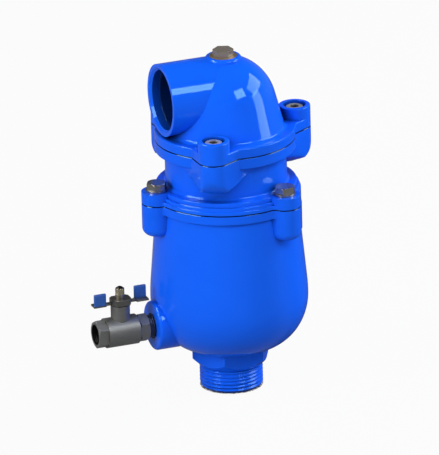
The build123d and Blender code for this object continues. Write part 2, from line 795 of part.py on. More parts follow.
# Large orifice: seat ring with its rubber, the cage under it, and the kinetic plug that the cage carries
with BuildPart() as seat_ring:
    with BuildSketch(Plane.XZ) as seat_section:
        Polygon(
            (orifice_r, seat_bottom_z),
            (seat_seal_inner_r, seat_bottom_z),
            (seat_seal_inner_r, seat_bottom_z + seat_seal_recess),
            (seat_seal_outer_r, seat_bottom_z + seat_seal_recess),
            (seat_seal_outer_r, seat_bottom_z),
            (seat_recess_r - fit_play, seat_bottom_z),
            (seat_recess_r - fit_play, upper_joint_z),
            (orifice_r, upper_joint_z),
        )
        fillet(seat_section.vertices().group_by(Axis.Y)[-1].sort_by(Axis.X)[0], orifice_round)
    revolve(axis=Axis.Z)
with BuildPart() as seat_seal:
    with BuildSketch(Plane.XY.offset(seal_face_z)):
        Circle(seat_seal_outer_r)
        Circle(seat_seal_inner_r, mode=Mode.SUBTRACT)
    extrude(amount=seat_seal_proud + seat_seal_recess)
    fillet(seat_seal.faces().sort_by(Axis.Z)[0].edges(), seat_seal_proud / 2)
with BuildPart() as plug_cage:
    with BuildSketch(Plane.XY.offset(seat_bottom_z)):
        Circle(seat_recess_r - fit_play)
        Circle(cage_top_inner_r, mode=Mode.SUBTRACT)
    extrude(amount=-cage_top_thickness)
    with BuildSketch(Plane.XY.offset(cage_base_bottom_z)):
        with PolarLocations(cage_bar_inner_r, cage_bar_count):
            Rectangle(cage_bar_depth, cage_bar_width, align=(Align.MIN, Align.CENTER))
    extrude(amount=recess_floor_z - cage_base_bottom_z + cage_top_thickness / 2)
    with BuildSketch(Plane.XY.offset(cage_base_bottom_z)):
        Circle(cage_bar_inner_r + cage_bar_depth / 2)
        Circle(cage_base_hole_r, mode=Mode.SUBTRACT)
    extrude(amount=cage_base_thickness)
with BuildPart() as kinetic_plug:
    with BuildSketch(Plane.XZ) as plug_section:
        Polygon(
            (nozzle_r + thread_play, plug_bottom_z),
            (kinetic_plug_r, plug_bottom_z),
            (kinetic_plug_r, plug_top_z),
            (crown_r, plug_top_z),
            (crown_r, plug_top_z + crown_height),
            (nozzle_r + thread_play, plug_top_z + crown_height),
        )
        fillet(plug_section.vertices().group_by(Axis.X)[-1], plug_edge)
        fillet(plug_section.vertices().group_by(Axis.Y)[-1].sort_by(Axis.X)[-1], crown_round)
    revolve(axis=Axis.Z)
with BuildPart() as nozzle:
    with BuildSketch(Plane.XY.offset(plug_bottom_z)):
        RegularPolygon(nozzle_across_flats / 2, 6, major_radius=False)
    extrude(amount=-nozzle_flange_thickness)
    with BuildSketch(Plane.XZ):
        Polygon(
            (0, nozzle_tip_z),
            (nozzle_tip_r, nozzle_tip_z),
            (nozzle_r, plug_bottom_z - nozzle_flange_thickness),
            (nozzle_r, plug_top_z + crown_height),
            (0, plug_top_z + crown_height),
        )
    revolve(axis=Axis.Z)
    with BuildSketch(Plane.XY.offset(nozzle_tip_z)):
        Circle(nozzle_orifice_r)
    extrude(amount=plug_top_z + crown_height - nozzle_tip_z, mode=Mode.SUBTRACT)

# Float: two welded shells, the rod with its lock nut, and the seal for the small orifice
with BuildPart() as float_upper_shell:
    with BuildSketch(Plane.XZ):
        with Locations((0, float_top_z - float_end_rise)):
            Ellipse(float_r, float_end_rise)
        with Locations((0, float_seam_z)):
            Rectangle(2 * float_r, float_height / 2 - float_end_rise, align=(Align.CENTER, Align.MIN))
        with Locations((0, float_top_z - float_end_rise)):
            Ellipse(float_r - float_shell, float_end_rise - float_shell, mode=Mode.SUBTRACT)
        with Locations((0, float_seam_z)):
            Rectangle(
                2 * (float_r - float_shell),
                float_height / 2 - float_end_rise,
                align=(Align.CENTER, Align.MIN),
                mode=Mode.SUBTRACT,
            )
        with Locations((0, float_seam_z)):
            Rectangle(float_r + float_shell, float_height, align=(Align.MIN, Align.MIN), mode=Mode.INTERSECT)
    revolve(axis=Axis.Z)
    with BuildSketch(Plane.XY.offset(float_boss_top_z)):
        Circle(float_boss_r)
    extrude(amount=-float_boss_height - float_shell / 2)
    with BuildSketch(Plane.XY.offset(float_boss_top_z)):
        Circle(rod_r + thread_play)
    extrude(amount=-float_boss_height - 3 * float_shell, mode=Mode.SUBTRACT)
with BuildPart() as float_lower_shell:
    with BuildSketch(Plane.XZ):
        with Locations((0, float_bottom_z + float_end_rise)):
            Ellipse(float_r, float_end_rise)
        with Locations((0, float_seam_z)):
            Rectangle(2 * float_r, float_height / 2 - float_end_rise, align=(Align.CENTER, Align.MAX))
        with Locations((0, float_bottom_z + float_end_rise)):
            Ellipse(float_r - float_shell, float_end_rise - float_shell, mode=Mode.SUBTRACT)
        with Locations((0, float_seam_z)):
            Rectangle(
                2 * (float_r - float_shell),
                float_height / 2 - float_end_rise,
                align=(Align.CENTER, Align.MAX),
                mode=Mode.SUBTRACT,
            )
        with Locations((0, float_seam_z)):
            Rectangle(float_r + float_shell, float_height, align=(Align.MIN, Align.MAX), mode=Mode.INTERSECT)
    revolve(axis=Axis.Z)
with BuildPart() as float_rod:
    with BuildSketch(Plane.XZ) as rod_section:
        Polygon(
            (0, float_boss_top_z - rod_grip),
            (rod_r, float_boss_top_z - rod_grip),
            (rod_r, rod_head_bottom_z),
            (rod_head_r, rod_head_bottom_z),
            (rod_head_r, rod_head_top_z),
            (nozzle_seal_r, rod_head_top_z),
            (nozzle_seal_r, rod_top_z - nozzle_seal_thickness),
            (0, rod_top_z - nozzle_seal_thickness),
        )
    revolve(axis=Axis.Z)
with BuildPart() as rod_nut:
    with BuildSketch(Plane.XY.offset(float_boss_top_z)):
        RegularPolygon(rod_nut_across_flats / 2, 6, major_radius=False)
        Circle(rod_r + thread_play, mode=Mode.SUBTRACT)
    extrude(amount=rod_nut_height)
with BuildPart() as nozzle_seal:
    with BuildSketch(Plane.XY.offset(rod_top_z)):
        Circle(nozzle_seal_r)
    extrude(amount=-nozzle_seal_thickness)

# Drain valve: barrel with its outlet hexagon and the stem's neck
with BuildPart() as drain_barrel:
    with BuildSketch(drain_section):
        Polygon(
            (connector_hex_end, 0),
            (connector_hex_end, valve_barrel_r - barrel_chamfer),
            (connector_hex_end + barrel_chamfer, valve_barrel_r),
            (barrel_end, valve_barrel_r),
            (barrel_end, 0),
        )
    revolve(axis=drain_axis)
    with BuildSketch(drain_plane.offset(barrel_end)):
        RegularPolygon(valve_hex_across_flats / 2, 6, major_radius=False, rotation=valve_hex_turn)
    extrude(amount=outlet_hex_length)
    with BuildSketch(drain_section):
        Polygon(
            (drain_end, valve_hex_across_flats / 2),
            (drain_end, valve_hex_across_flats),
            (drain_end - valve_hex_chamfer, valve_hex_across_flats),
        )
    revolve(axis=drain_axis, mode=Mode.SUBTRACT)
    with BuildSketch(stem_section):
        Polygon(
            (0, drain_z),
            (valve_neck_r, drain_z),
            (valve_neck_r, valve_neck_top_z - barrel_chamfer),
            (valve_neck_r - barrel_chamfer, valve_neck_top_z),
            (0, valve_neck_top_z),
        )
    revolve(axis=stem_axis)
    with BuildSketch(drain_section):
        Polygon(
            (connector_hex_end, 0),
            (connector_hex_end, chamber_r),
            (stem_line + chamber_half, chamber_r),
            (stem_line + chamber_half, port_r),
            (drain_end - drain_outlet_depth, port_r),
            (drain_end - drain_outlet_depth, drain_outlet_r),
            (drain_end, drain_outlet_r),
            (drain_end, 0),
        )
    revolve(axis=drain_axis, mode=Mode.SUBTRACT)
    with BuildSketch(stem_section):
        Polygon(
            (0, drain_z),
            (stem_r + fit_play, drain_z),
            (stem_r + fit_play, packing_bottom_z),
            (packing_r + fit_play, packing_bottom_z),
            (packing_r + fit_play, valve_neck_top_z),
            (0, valve_neck_top_z),
        )
    revolve(axis=stem_axis, mode=Mode.SUBTRACT)
with BuildPart() as drain_connector:
    with BuildSketch(drain_section):
        Polygon(
            (drain_boss_face - nipple_engagement, port_r),
            (drain_boss_face - nipple_engagement, drain_thread_r),
            (connector_hex_start, drain_thread_r),
            (connector_hex_start, chamber_r - fit_play),
            (stem_line - chamber_half, chamber_r - fit_play),
            (stem_line - chamber_half, port_r),
        )
    revolve(axis=drain_axis)
    with BuildSketch(drain_plane.offset(connector_hex_start)):
        RegularPolygon(valve_hex_across_flats / 2, 6, major_radius=False, rotation=valve_hex_turn)
        Circle(port_r, mode=Mode.SUBTRACT)
    extrude(amount=connector_hex_length)
    with BuildSketch(drain_section):
        Polygon(
            (connector_hex_start, valve_hex_across_flats / 2),
            (connector_hex_start, valve_hex_across_flats),
            (connector_hex_start + valve_hex_chamfer, valve_hex_across_flats),
        )
        Polygon(
            (connector_hex_end, valve_hex_across_flats / 2),
            (connector_hex_end, valve_hex_across_flats),
            (connector_hex_end - valve_hex_chamfer, valve_hex_across_flats),
        )
    revolve(axis=drain_axis, mode=Mode.SUBTRACT)

# Ball, its two seats, stem, packing and gland nut
ball_centre = (-stem_line, 0, drain_z)
with BuildPart() as drain_ball:
    with Locations(ball_centre):
        Sphere(ball_r)
        Cylinder(port_r, 2 * ball_r, rotation=(0, 90, 0), mode=Mode.SUBTRACT)
    with Locations((-stem_line, 0, tang_bottom_z - tang_play)):
        Box(
            tang_thickness + 2 * tang_play,
            2 * ball_r,
            ball_r,
            align=(Align.CENTER, Align.CENTER, Align.MIN),
            mode=Mode.SUBTRACT,
        )
with BuildPart() as ball_seats:
    with BuildSketch(drain_section):
        Polygon(
            (stem_line - chamber_half, port_r),
            (stem_line - seat_inner, port_r),
            (stem_line - seat_inner, chamber_r - fit_play),
            (stem_line - chamber_half, chamber_r - fit_play),
        )
        Polygon(
            (stem_line + chamber_half, port_r),
            (stem_line + seat_inner, port_r),
            (stem_line + seat_inner, chamber_r - fit_play),
            (stem_line + chamber_half, chamber_r - fit_play),
        )
        with Locations((stem_line, 0)):
            Circle(ball_r + ball_play, mode=Mode.SUBTRACT)
    revolve(axis=drain_axis)
with BuildPart() as drain_stem:
    with BuildSketch(stem_section):
        Polygon(
            (0, stem_foot_z),
            (stem_r, stem_foot_z),
            (stem_r, stem_top_z),
            (handle_stud_r, stem_top_z),
            (handle_stud_r, stem_top_z + handle_stud_length),
            (0, stem_top_z + handle_stud_length),
        )
    revolve(axis=stem_axis)
    with Locations((-stem_line, 0, tang_bottom_z)):
        Box(
            tang_thickness,
            tang_width,
            stem_foot_z - tang_bottom_z,
            align=(Align.CENTER, Align.CENTER, Align.MIN),
        )
with BuildPart() as stem_packing:
    with BuildSketch(Plane.XY.offset(packing_bottom_z)):
        with Locations((-stem_line, 0)):
            Circle(packing_r)
            Circle(stem_r + fit_play, mode=Mode.SUBTRACT)
    extrude(amount=packing_height)
with BuildPart() as gland_nut:
    with BuildSketch(Plane.XY.offset(packing_bottom_z + packing_height)):
        with Locations((-stem_line, 0)):
            Circle(packing_r)
            Circle(stem_r + fit_play, mode=Mode.SUBTRACT)
    extrude(amount=gland_nut_height)

# Handle: a hub block on a flat plate whose two pads turn up into wings, and a plastic sleeve over each wing
with BuildPart() as handle_plate:
    with BuildSketch(Plane.XY.offset(handle_bottom_z)):
        with Locations((-stem_line, 0)):
            Rectangle(2 * pad_line, handle_arm_width)
            with Locations((-pad_line, 0), (pad_line, 0)):
                Rectangle(handle_pad_length, handle_pad_width)
    extrude(amount=handle_thickness)
    with BuildSketch(Plane.XY.offset(handle_bottom_z)):
        with Locations((-stem_line, 0)):
            Polygon(
                (-hub_front_width / 2, -hub_front),
                (hub_front_width / 2, -hub_front),
                (hub_length / 2, hub_front_taper - hub_front),
                (hub_length / 2, hub_back - hub_back_taper),
                (hub_front_width / 2, hub_back),
                (-hub_front_width / 2, hub_back),
                (-hub_length / 2, hub_back - hub_back_taper),
                (-hub_length / 2, hub_front_taper - hub_front),
            )
    extrude(amount=hub_height)
    with BuildSketch(Plane.XY.offset(handle_bottom_z)):
        with Locations((-stem_line, 0)):
            Circle(stem_r + fit_play)
    extrude(amount=hub_height, mode=Mode.SUBTRACT)
    with BuildSketch(Plane.XY.offset(handle_top_z)):
        with Locations((-stem_line - wing_line, -wing_offset), (-stem_line + wing_line, wing_offset)):
            Rectangle(wing_length, wing_thickness)
    extrude(amount=wing_height)
with BuildPart() as handle_sleeves:
    with BuildSketch(Plane.XY.offset(handle_top_z)):
        with Locations((-stem_line - wing_line, -wing_offset), (-stem_line + wing_line, wing_offset)):
            RectangleRounded(
                wing_length + 2 * sleeve_wall,
                wing_thickness + 2 * sleeve_wall,
                sleeve_corner_r,
            )
    extrude(amount=wing_height + sleeve_wall)
    fillet(handle_sleeves.faces().group_by(Axis.Z)[-1].edges(), sleeve_corner_r / 2)
    add(handle_plate.part, mode=Mode.SUBTRACT)
with BuildPart() as handle_nut:
    with BuildSketch(Plane.XY.offset(stem_top_z)):
        with Locations((-stem_line, 0)):
            RegularPolygon(cap_nut_across_flats / 2, 6, major_radius=False)
            Circle(handle_stud_r + thread_play, mode=Mode.SUBTRACT)
    extrude(amount=cap_nut_hex_height)
    with BuildSketch(stem_section):
        with BuildLine():
            Polyline(
                (0, cap_nut_top_z),
                (0, stem_top_z + handle_stud_length + thread_play),
                (cap_nut_dome_r, stem_top_z + handle_stud_length + thread_play),
                (cap_nut_dome_r, stem_top_z + cap_nut_hex_height),
            )
            RadiusArc(
                (cap_nut_dome_r, stem_top_z + cap_nut_hex_height),
                (0, cap_nut_top_z),
                -cap_nut_curve_r,
            )
        make_face()
    revolve(axis=stem_axis)

# Labels, and one STEP file for each piece
valve_body.part.label = "valve_body"
cover.part.label = "cover"
hood.part.label = "hood"
flange_bolts.part.label = "flange_bolts"
flange_washers.part.label = "flange_washers"
hood_screws.part.label = "hood_screws"
top_plug.part.label = "top_plug"
top_plug_washer.part.label = "top_plug_washer"
body_o_ring.part.label = "body_o_ring"
hood_o_ring.part.label = "hood_o_ring"
guide_spider.part.label = "guide_spider"
guide_bush.part.label = "guide_bush"
seat_ring.part.label = "seat_ring"
seat_seal.part.label = "seat_seal"
plug_cage.part.label = "plug_cage"
kinetic_plug.part.label = "kinetic_plug"
nozzle.part.label = "nozzle"
float_upper_shell.part.label = "float_upper_shell"
float_lower_shell.part.label = "float_lower_shell"
float_rod.part.label = "float_rod"
rod_nut.part.label = "rod_nut"
nozzle_seal.part.label = "nozzle_seal"
drain_barrel.part.label = "drain_barrel"
drain_connector.part.label = "drain_connector"
drain_ball.part.label = "drain_ball"
ball_seats.part.label = "ball_seats"
drain_stem.part.label = "drain_stem"
stem_packing.part.label = "stem_packing"
gland_nut.part.label = "gland_nut"
handle_plate.part.label = "handle_plate"
handle_sleeves.part.label = "handle_sleeves"
handle_nut.part.label = "handle_nut"
os.makedirs("parts", exist_ok=True)
export_step(valve_body.part, "parts/valve_body.step")
export_step(cover.part, "parts/cover.step")
export_step(hood.part, "parts/hood.step")
export_step(flange_bolts.part, "parts/flange_bolts.step")
export_step(flange_washers.part, "parts/flange_washers.step")
export_step(hood_screws.part, "parts/hood_screws.step")
export_step(top_plug.part, "parts/top_plug.step")
export_step(top_plug_washer.part, "parts/top_plug_washer.step")
export_step(body_o_ring.part, "parts/body_o_ring.step")
export_step(hood_o_ring.part, "parts/hood_o_ring.step")
export_step(guide_spider.part, "parts/guide_spider.step")
export_step(guide_bush.part, "parts/guide_bush.step")
export_step(seat_ring.part, "parts/seat_ring.step")
export_step(seat_seal.part, "parts/seat_seal.step")
export_step(plug_cage.part, "parts/plug_cage.step")
export_step(kinetic_plug.part, "parts/kinetic_plug.step")
export_step(nozzle.part, "parts/nozzle.step")
export_step(float_upper_shell.part, "parts/float_upper_shell.step")
export_step(float_lower_shell.part, "parts/float_lower_shell.step")
export_step(float_rod.part, "parts/float_rod.step")
export_step(rod_nut.part, "parts/rod_nut.step")
export_step(nozzle_seal.part, "parts/nozzle_seal.step")
export_step(drain_barrel.part, "parts/drain_barrel.step")
export_step(drain_connector.part, "parts/drain_connector.step")
export_step(drain_ball.part, "parts/drain_ball.step")
export_step(ball_seats.part, "parts/ball_seats.step")
export_step(drain_stem.part, "parts/drain_stem.step")
export_step(stem_packing.part, "parts/stem_packing.step")
export_step(gland_nut.part, "parts/gland_nut.step")
export_step(handle_plate.part, "parts/handle_plate.step")
export_step(handle_sleeves.part, "parts/handle_sleeves.step")
export_step(handle_nut.part, "parts/handle_nut.step")
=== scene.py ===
"""Pictures of a combination air release valve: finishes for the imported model, its threads, and a small studio.

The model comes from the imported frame, in metres. The origin is the middle of the inlet's lower face, +Z is up, and
the outlet elbow and the drain valve point along -X.
"""

import json
import logging
import math
from collections.abc import Callable
from dataclasses import dataclass
from enum import Enum
from typing import ClassVar

import bmesh
import bpy
import numpy as np
from mathutils import Matrix, Vector

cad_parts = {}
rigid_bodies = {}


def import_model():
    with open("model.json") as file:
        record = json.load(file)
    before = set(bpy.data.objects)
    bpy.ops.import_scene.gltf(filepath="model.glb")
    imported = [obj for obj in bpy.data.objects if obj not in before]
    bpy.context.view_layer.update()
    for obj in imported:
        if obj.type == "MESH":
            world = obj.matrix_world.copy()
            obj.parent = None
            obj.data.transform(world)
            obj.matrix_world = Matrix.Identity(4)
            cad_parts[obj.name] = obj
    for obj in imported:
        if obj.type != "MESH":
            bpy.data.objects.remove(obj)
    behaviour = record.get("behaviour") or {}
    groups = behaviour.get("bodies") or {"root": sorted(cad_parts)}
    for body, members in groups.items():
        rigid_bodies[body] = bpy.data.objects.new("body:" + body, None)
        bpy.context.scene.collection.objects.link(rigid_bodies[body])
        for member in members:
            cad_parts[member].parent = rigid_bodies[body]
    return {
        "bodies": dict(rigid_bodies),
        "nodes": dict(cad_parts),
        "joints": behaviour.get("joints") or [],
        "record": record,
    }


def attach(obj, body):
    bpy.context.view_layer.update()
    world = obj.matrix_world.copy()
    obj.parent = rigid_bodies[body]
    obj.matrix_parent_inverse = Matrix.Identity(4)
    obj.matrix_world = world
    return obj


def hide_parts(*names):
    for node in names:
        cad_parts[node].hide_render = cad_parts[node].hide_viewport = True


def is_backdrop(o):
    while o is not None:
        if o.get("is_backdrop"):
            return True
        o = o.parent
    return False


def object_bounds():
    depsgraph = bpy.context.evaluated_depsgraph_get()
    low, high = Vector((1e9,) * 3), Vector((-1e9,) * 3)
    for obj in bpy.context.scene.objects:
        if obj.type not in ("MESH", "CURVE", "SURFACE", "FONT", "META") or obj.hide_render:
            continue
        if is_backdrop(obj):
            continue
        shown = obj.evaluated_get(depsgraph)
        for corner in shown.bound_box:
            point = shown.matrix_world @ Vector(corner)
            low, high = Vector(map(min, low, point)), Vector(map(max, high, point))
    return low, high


MM = 0.001
# Corners of the CAD's loose triangles that lie closer than this are one corner
MERGE_MM = 0.002
# Faces that meet at a wider angle than this keep their edge sharp
SHARP_DEG = 28.0
# Nearly all values of a noise texture lie between these two
NOISE_RANGE = (0.3, 0.7)
log = logging.getLogger("air_valve")


# Nodes and colours


def linear(hex_code: str) -> tuple[float, float, float, float]:
    """Turns a screen colour into the linear colour that shaders read.

    Args:
        hex_code: The colour as six hexadecimal digits, such as "1463FF".

    Returns:
        Red, green, blue and an alpha of 1, each screen value s becoming s / 12.92 below 0.04045 and
        ((s + 0.055) / 1.055) to the power 2.4 above it.
    """
    screen = np.array([int(hex_code[i : i + 2], 16) for i in (0, 2, 4)]) / 255
    light = np.where(screen <= 0.04045, screen / 12.92, ((screen + 0.055) / 1.055) ** 2.4)
    return (*(float(c) for c in light), 1.0)


def add_node(
    tree: bpy.types.NodeTree,
    kind: str,
    inputs: dict[str | int, object] | None = None,
    **settings: object,
) -> bpy.types.Node:
    """Adds one shader node, with its settings, its values and its links.

    Args:
        tree: The tree that gets the node.
        kind: Blender's name for the node's type.
        inputs: For each input, by name or number, a value, or the output socket that feeds it.
        **settings: Properties of the node itself.

    Returns:
        The new node.
    """
    node = tree.nodes.new(kind)
    for name, value in settings.items():
        setattr(node, name, value)
    for name, value in (inputs or {}).items():
        if isinstance(value, bpy.types.NodeSocket):
            tree.links.new(value, node.inputs[name])
        else:
            node.inputs[name].default_value = value
    return node


def new_tree(name: str) -> tuple[bpy.types.Material, bpy.types.NodeTree]:
    """Makes a material with an empty node tree.

    Args:
        name: What the finish is.

    Returns:
        The material and its tree.
    """
    material = bpy.data.materials.new(name)
    material.use_nodes = True
    material.node_tree.nodes.clear()
    return material, material.node_tree


def object_point(tree: bpy.types.NodeTree) -> bpy.types.NodeSocket:
    """The place of a point on the valve, in metres, the same for every piece."""
    return add_node(tree, "ShaderNodeTexCoord").outputs["Object"]


def add_surface(
    tree: bpy.types.NodeTree,
    relief: bpy.types.NodeSocket,
    relief_mm: float,
    edge_mm: float,
    inputs: dict[str, object],
    samples: int = 6,
) -> None:
    """Ends a finish: rounds the edges in the light, lays a fine relief on that, and adds the shader and the output.

    Args:
        tree: The material's tree.
        relief: The pattern of the relief.
        relief_mm: How high it stands.
        edge_mm: How far an edge is rounded.
        inputs: The shader's other inputs, by name.
        samples: How many rays look for edges.
    """
    edge = add_node(tree, "ShaderNodeBevel", {"Radius": edge_mm * MM}, samples=samples)
    bump = add_node(
        tree,
        "ShaderNodeBump",
        {"Height": relief, "Normal": edge.outputs["Normal"], "Distance": relief_mm * MM},
    )
    shader = add_node(tree, "ShaderNodeBsdfPrincipled", {**inputs, "Normal": bump.outputs["Normal"]})
    add_node(tree, "ShaderNodeOutputMaterial", {"Surface": shader.outputs["BSDF"]})


# Finishes


class Line(Enum):
    """The line that a turned or milled surface was made about, as a point on it and the axis that it follows."""

    VALVE = ((0.0, 0.0, 0.0), "Z")
    DRAIN = ((0.0, 0.0, 0.070), "X")
    STEM = ((-0.1096, 0.0, 0.0), "Z")


@dataclass(frozen=True)
class Epoxy:
    """Thick gloss epoxy on cast iron: saturated blue, mirror-like, near black where two castings meet.

    The eye sees an even saturated blue that drifts a little, sharp reflections with a trace of orange peel, soft
    edges, painted shade that darkens corners, hollows and the outlet's throat, and dark joint lines.
    """

    name: str
    body: str
    rich: str
    # The blue of the painted shade in corners, hollows and the throat, and of the dark joint lines
    shade_and_joint_blue: str
    drift_mm: float = 38.0
    roughness: float = 0.045
    gloss_spread: tuple[float, float] = (0.8, 1.4)
    gloss_tint: tuple[float, float, float, float] = (0.38, 0.80, 1.0, 1.0)
    peel_mm: float = 2.6
    peel_height_mm: float = 0.004
    edge_mm: float = 0.45
    # Painted shade in tight corners, then in wider hollows such as the one under the elbow. For each, how far it looks
    # in mm, from which openness on the colour is full, and the share of the colour where it is shut
    hollows: tuple[tuple[float, float, float], ...] = ((3.0, 0.70, 0.45), (22.0, 0.72, 0.15))
    shut: float = 0.15
    # The heights where castings meet, and how far from them the painted line is dark and has ended
    joints_mm: tuple[float, ...] = (192.0, 247.0)
    joint_line_mm: tuple[float, float] = (0.42, 0.75)
    # Painted shade down the outlet's throat: its line's height, its wall, the stretch from mouth to depth, and the
    # share of the colour at each end
    throat_z_mm: float = 292.0
    throat_r_mm: tuple[float, float] = (28.2, 28.6)
    throat_x_mm: tuple[float, float] = (-63.0, -53.0)
    throat_share: tuple[float, float] = (0.30, 0.06)
    throat_end_x_mm: float = -10.0

    def depth(self, tree: bpy.types.NodeTree, point: bpy.types.NodeSocket) -> bpy.types.NodeSocket:
        """Works out how open a point lies.

        Args:
            tree: The material's tree.
            point: The place of the point on the valve.

        Returns:
            1 on open faces, lower in corners and hollows and close to 0 down the outlet's throat, all as painted
            shade, and 0 on the lines where the castings meet. It is the product of one share for each of these.
        """
        shares = []
        # Painted shade: the colour sinks in corners and hollows by how little open air each point sees
        for reach_mm, full, low in self.hollows:
            hollow = add_node(tree, "ShaderNodeAmbientOcclusion", {"Distance": reach_mm * MM}, samples=8)
            opened = add_node(
                tree,
                "ShaderNodeMapRange",
                {"Value": hollow.outputs["AO"], "From Min": self.shut, "From Max": full, "To Min": low},
                interpolation_type="SMOOTHSTEP",
            )
            shares.append(opened.outputs["Result"])
        apart = add_node(tree, "ShaderNodeSeparateXYZ", {"Vector": point})
        height = apart.outputs["Z"]
        # The throat, painted darker with depth as shade, is what lies near the outlet's line on the side that the
        # outlet points to
        rise = add_node(tree, "ShaderNodeMath", {0: height, 1: self.throat_z_mm * MM}, operation="SUBTRACT")
        flat = add_node(tree, "ShaderNodeCombineXYZ", {"Y": apart.outputs["Y"], "Z": rise.outputs[0]})
        reach = add_node(tree, "ShaderNodeVectorMath", {0: flat.outputs["Vector"]}, operation="LENGTH")
        beyond = add_node(
            tree,
            "ShaderNodeMapRange",
            {
                "Value": reach.outputs["Value"],
                "From Min": self.throat_r_mm[0] * MM,
                "From Max": self.throat_r_mm[1] * MM,
            },
        )
        other_side = add_node(
            tree,
            "ShaderNodeMath",
            {0: apart.outputs["X"], 1: self.throat_end_x_mm * MM},
            operation="GREATER_THAN",
        )
        outside = add_node(
            tree,
            "ShaderNodeMath",
            {0: beyond.outputs["Result"], 1: other_side.outputs[0]},
            operation="MAXIMUM",
        )
        inside = add_node(
            tree,
            "ShaderNodeMapRange",
            {
                "Value": apart.outputs["X"],
                "From Min": self.throat_x_mm[0] * MM,
                "From Max": self.throat_x_mm[1] * MM,
                "To Min": self.throat_share[0],
                "To Max": self.throat_share[1],
            },
        )
        lit = add_node(
            tree,
            "ShaderNodeMapRange",
            {"Value": outside.outputs[0], "To Min": inside.outputs["Result"], "To Max": 1.0},
        )
        shares.append(lit.outputs["Result"])
        for joint in self.joints_mm:
            away = add_node(tree, "ShaderNodeMath", {0: height, 1: joint * MM}, operation="SUBTRACT")
            gap = add_node(tree, "ShaderNodeMath", {0: away.outputs[0]}, operation="ABSOLUTE")
            line = add_node(
                tree,
                "ShaderNodeMapRange",
                {
                    "Value": gap.outputs[0],
                    "From Min": self.joint_line_mm[0] * MM,
                    "From Max": self.joint_line_mm[1] * MM,
                },
                interpolation_type="SMOOTHSTEP",
            )
            shares.append(line.outputs["Result"])
        whole, *others = shares
        for share in others:
            whole = add_node(tree, "ShaderNodeMath", {0: whole, 1: share}, operation="MULTIPLY").outputs[0]
        return whole

    def material(self) -> bpy.types.Material:
        """Builds the paint.

        Returns:
            A material whose colour drifts slowly between two blues, darkens with painted shade where the surface is
            hidden and at the dark joint lines, whose gloss is a little uneven, and whose normal is rounded over edges
            before a fine peel is laid on it.
        """
        material, tree = new_tree(self.name)
        point = object_point(tree)
        drift = add_node(
            tree,
            "ShaderNodeTexNoise",
            {"Vector": point, "Scale": 1 / (self.drift_mm * MM), "Detail": 2.0, "Roughness": 0.45},
        )
        # The colour inputs and output of a Mix node go by number, because its names repeat for each kind of data
        tint = add_node(
            tree,
            "ShaderNodeMix",
            {"Factor": drift.outputs["Fac"], 6: linear(self.body), 7: linear(self.rich)},
            data_type="RGBA",
        )
        # Painted shade in corners, hollows and the throat, and the dark joint lines, mix in the shade-and-joint blue
        colour = add_node(
            tree,
            "ShaderNodeMix",
            {"Factor": self.depth(tree, point), 6: linear(self.shade_and_joint_blue), 7: tint.outputs[2]},
            data_type="RGBA",
        )
        peel = add_node(
            tree,
            "ShaderNodeTexNoise",
            {"Vector": point, "Scale": 1 / (self.peel_mm * MM), "Detail": 1.0, "Roughness": 0.4},
        )
        gloss = add_node(
            tree,
            "ShaderNodeMapRange",
            {
                "Value": drift.outputs["Fac"],
                "From Min": NOISE_RANGE[0],
                "From Max": NOISE_RANGE[1],
                "To Min": self.roughness * self.gloss_spread[0],
                "To Max": self.roughness * self.gloss_spread[1],
            },
        )
        inputs = {
            "Base Color": colour.outputs[2],
            "Roughness": gloss.outputs["Result"],
            "Specular Tint": self.gloss_tint,
        }
        add_surface(tree, peel.outputs["Fac"], self.peel_height_mm, self.edge_mm, inputs, samples=8)
        return material


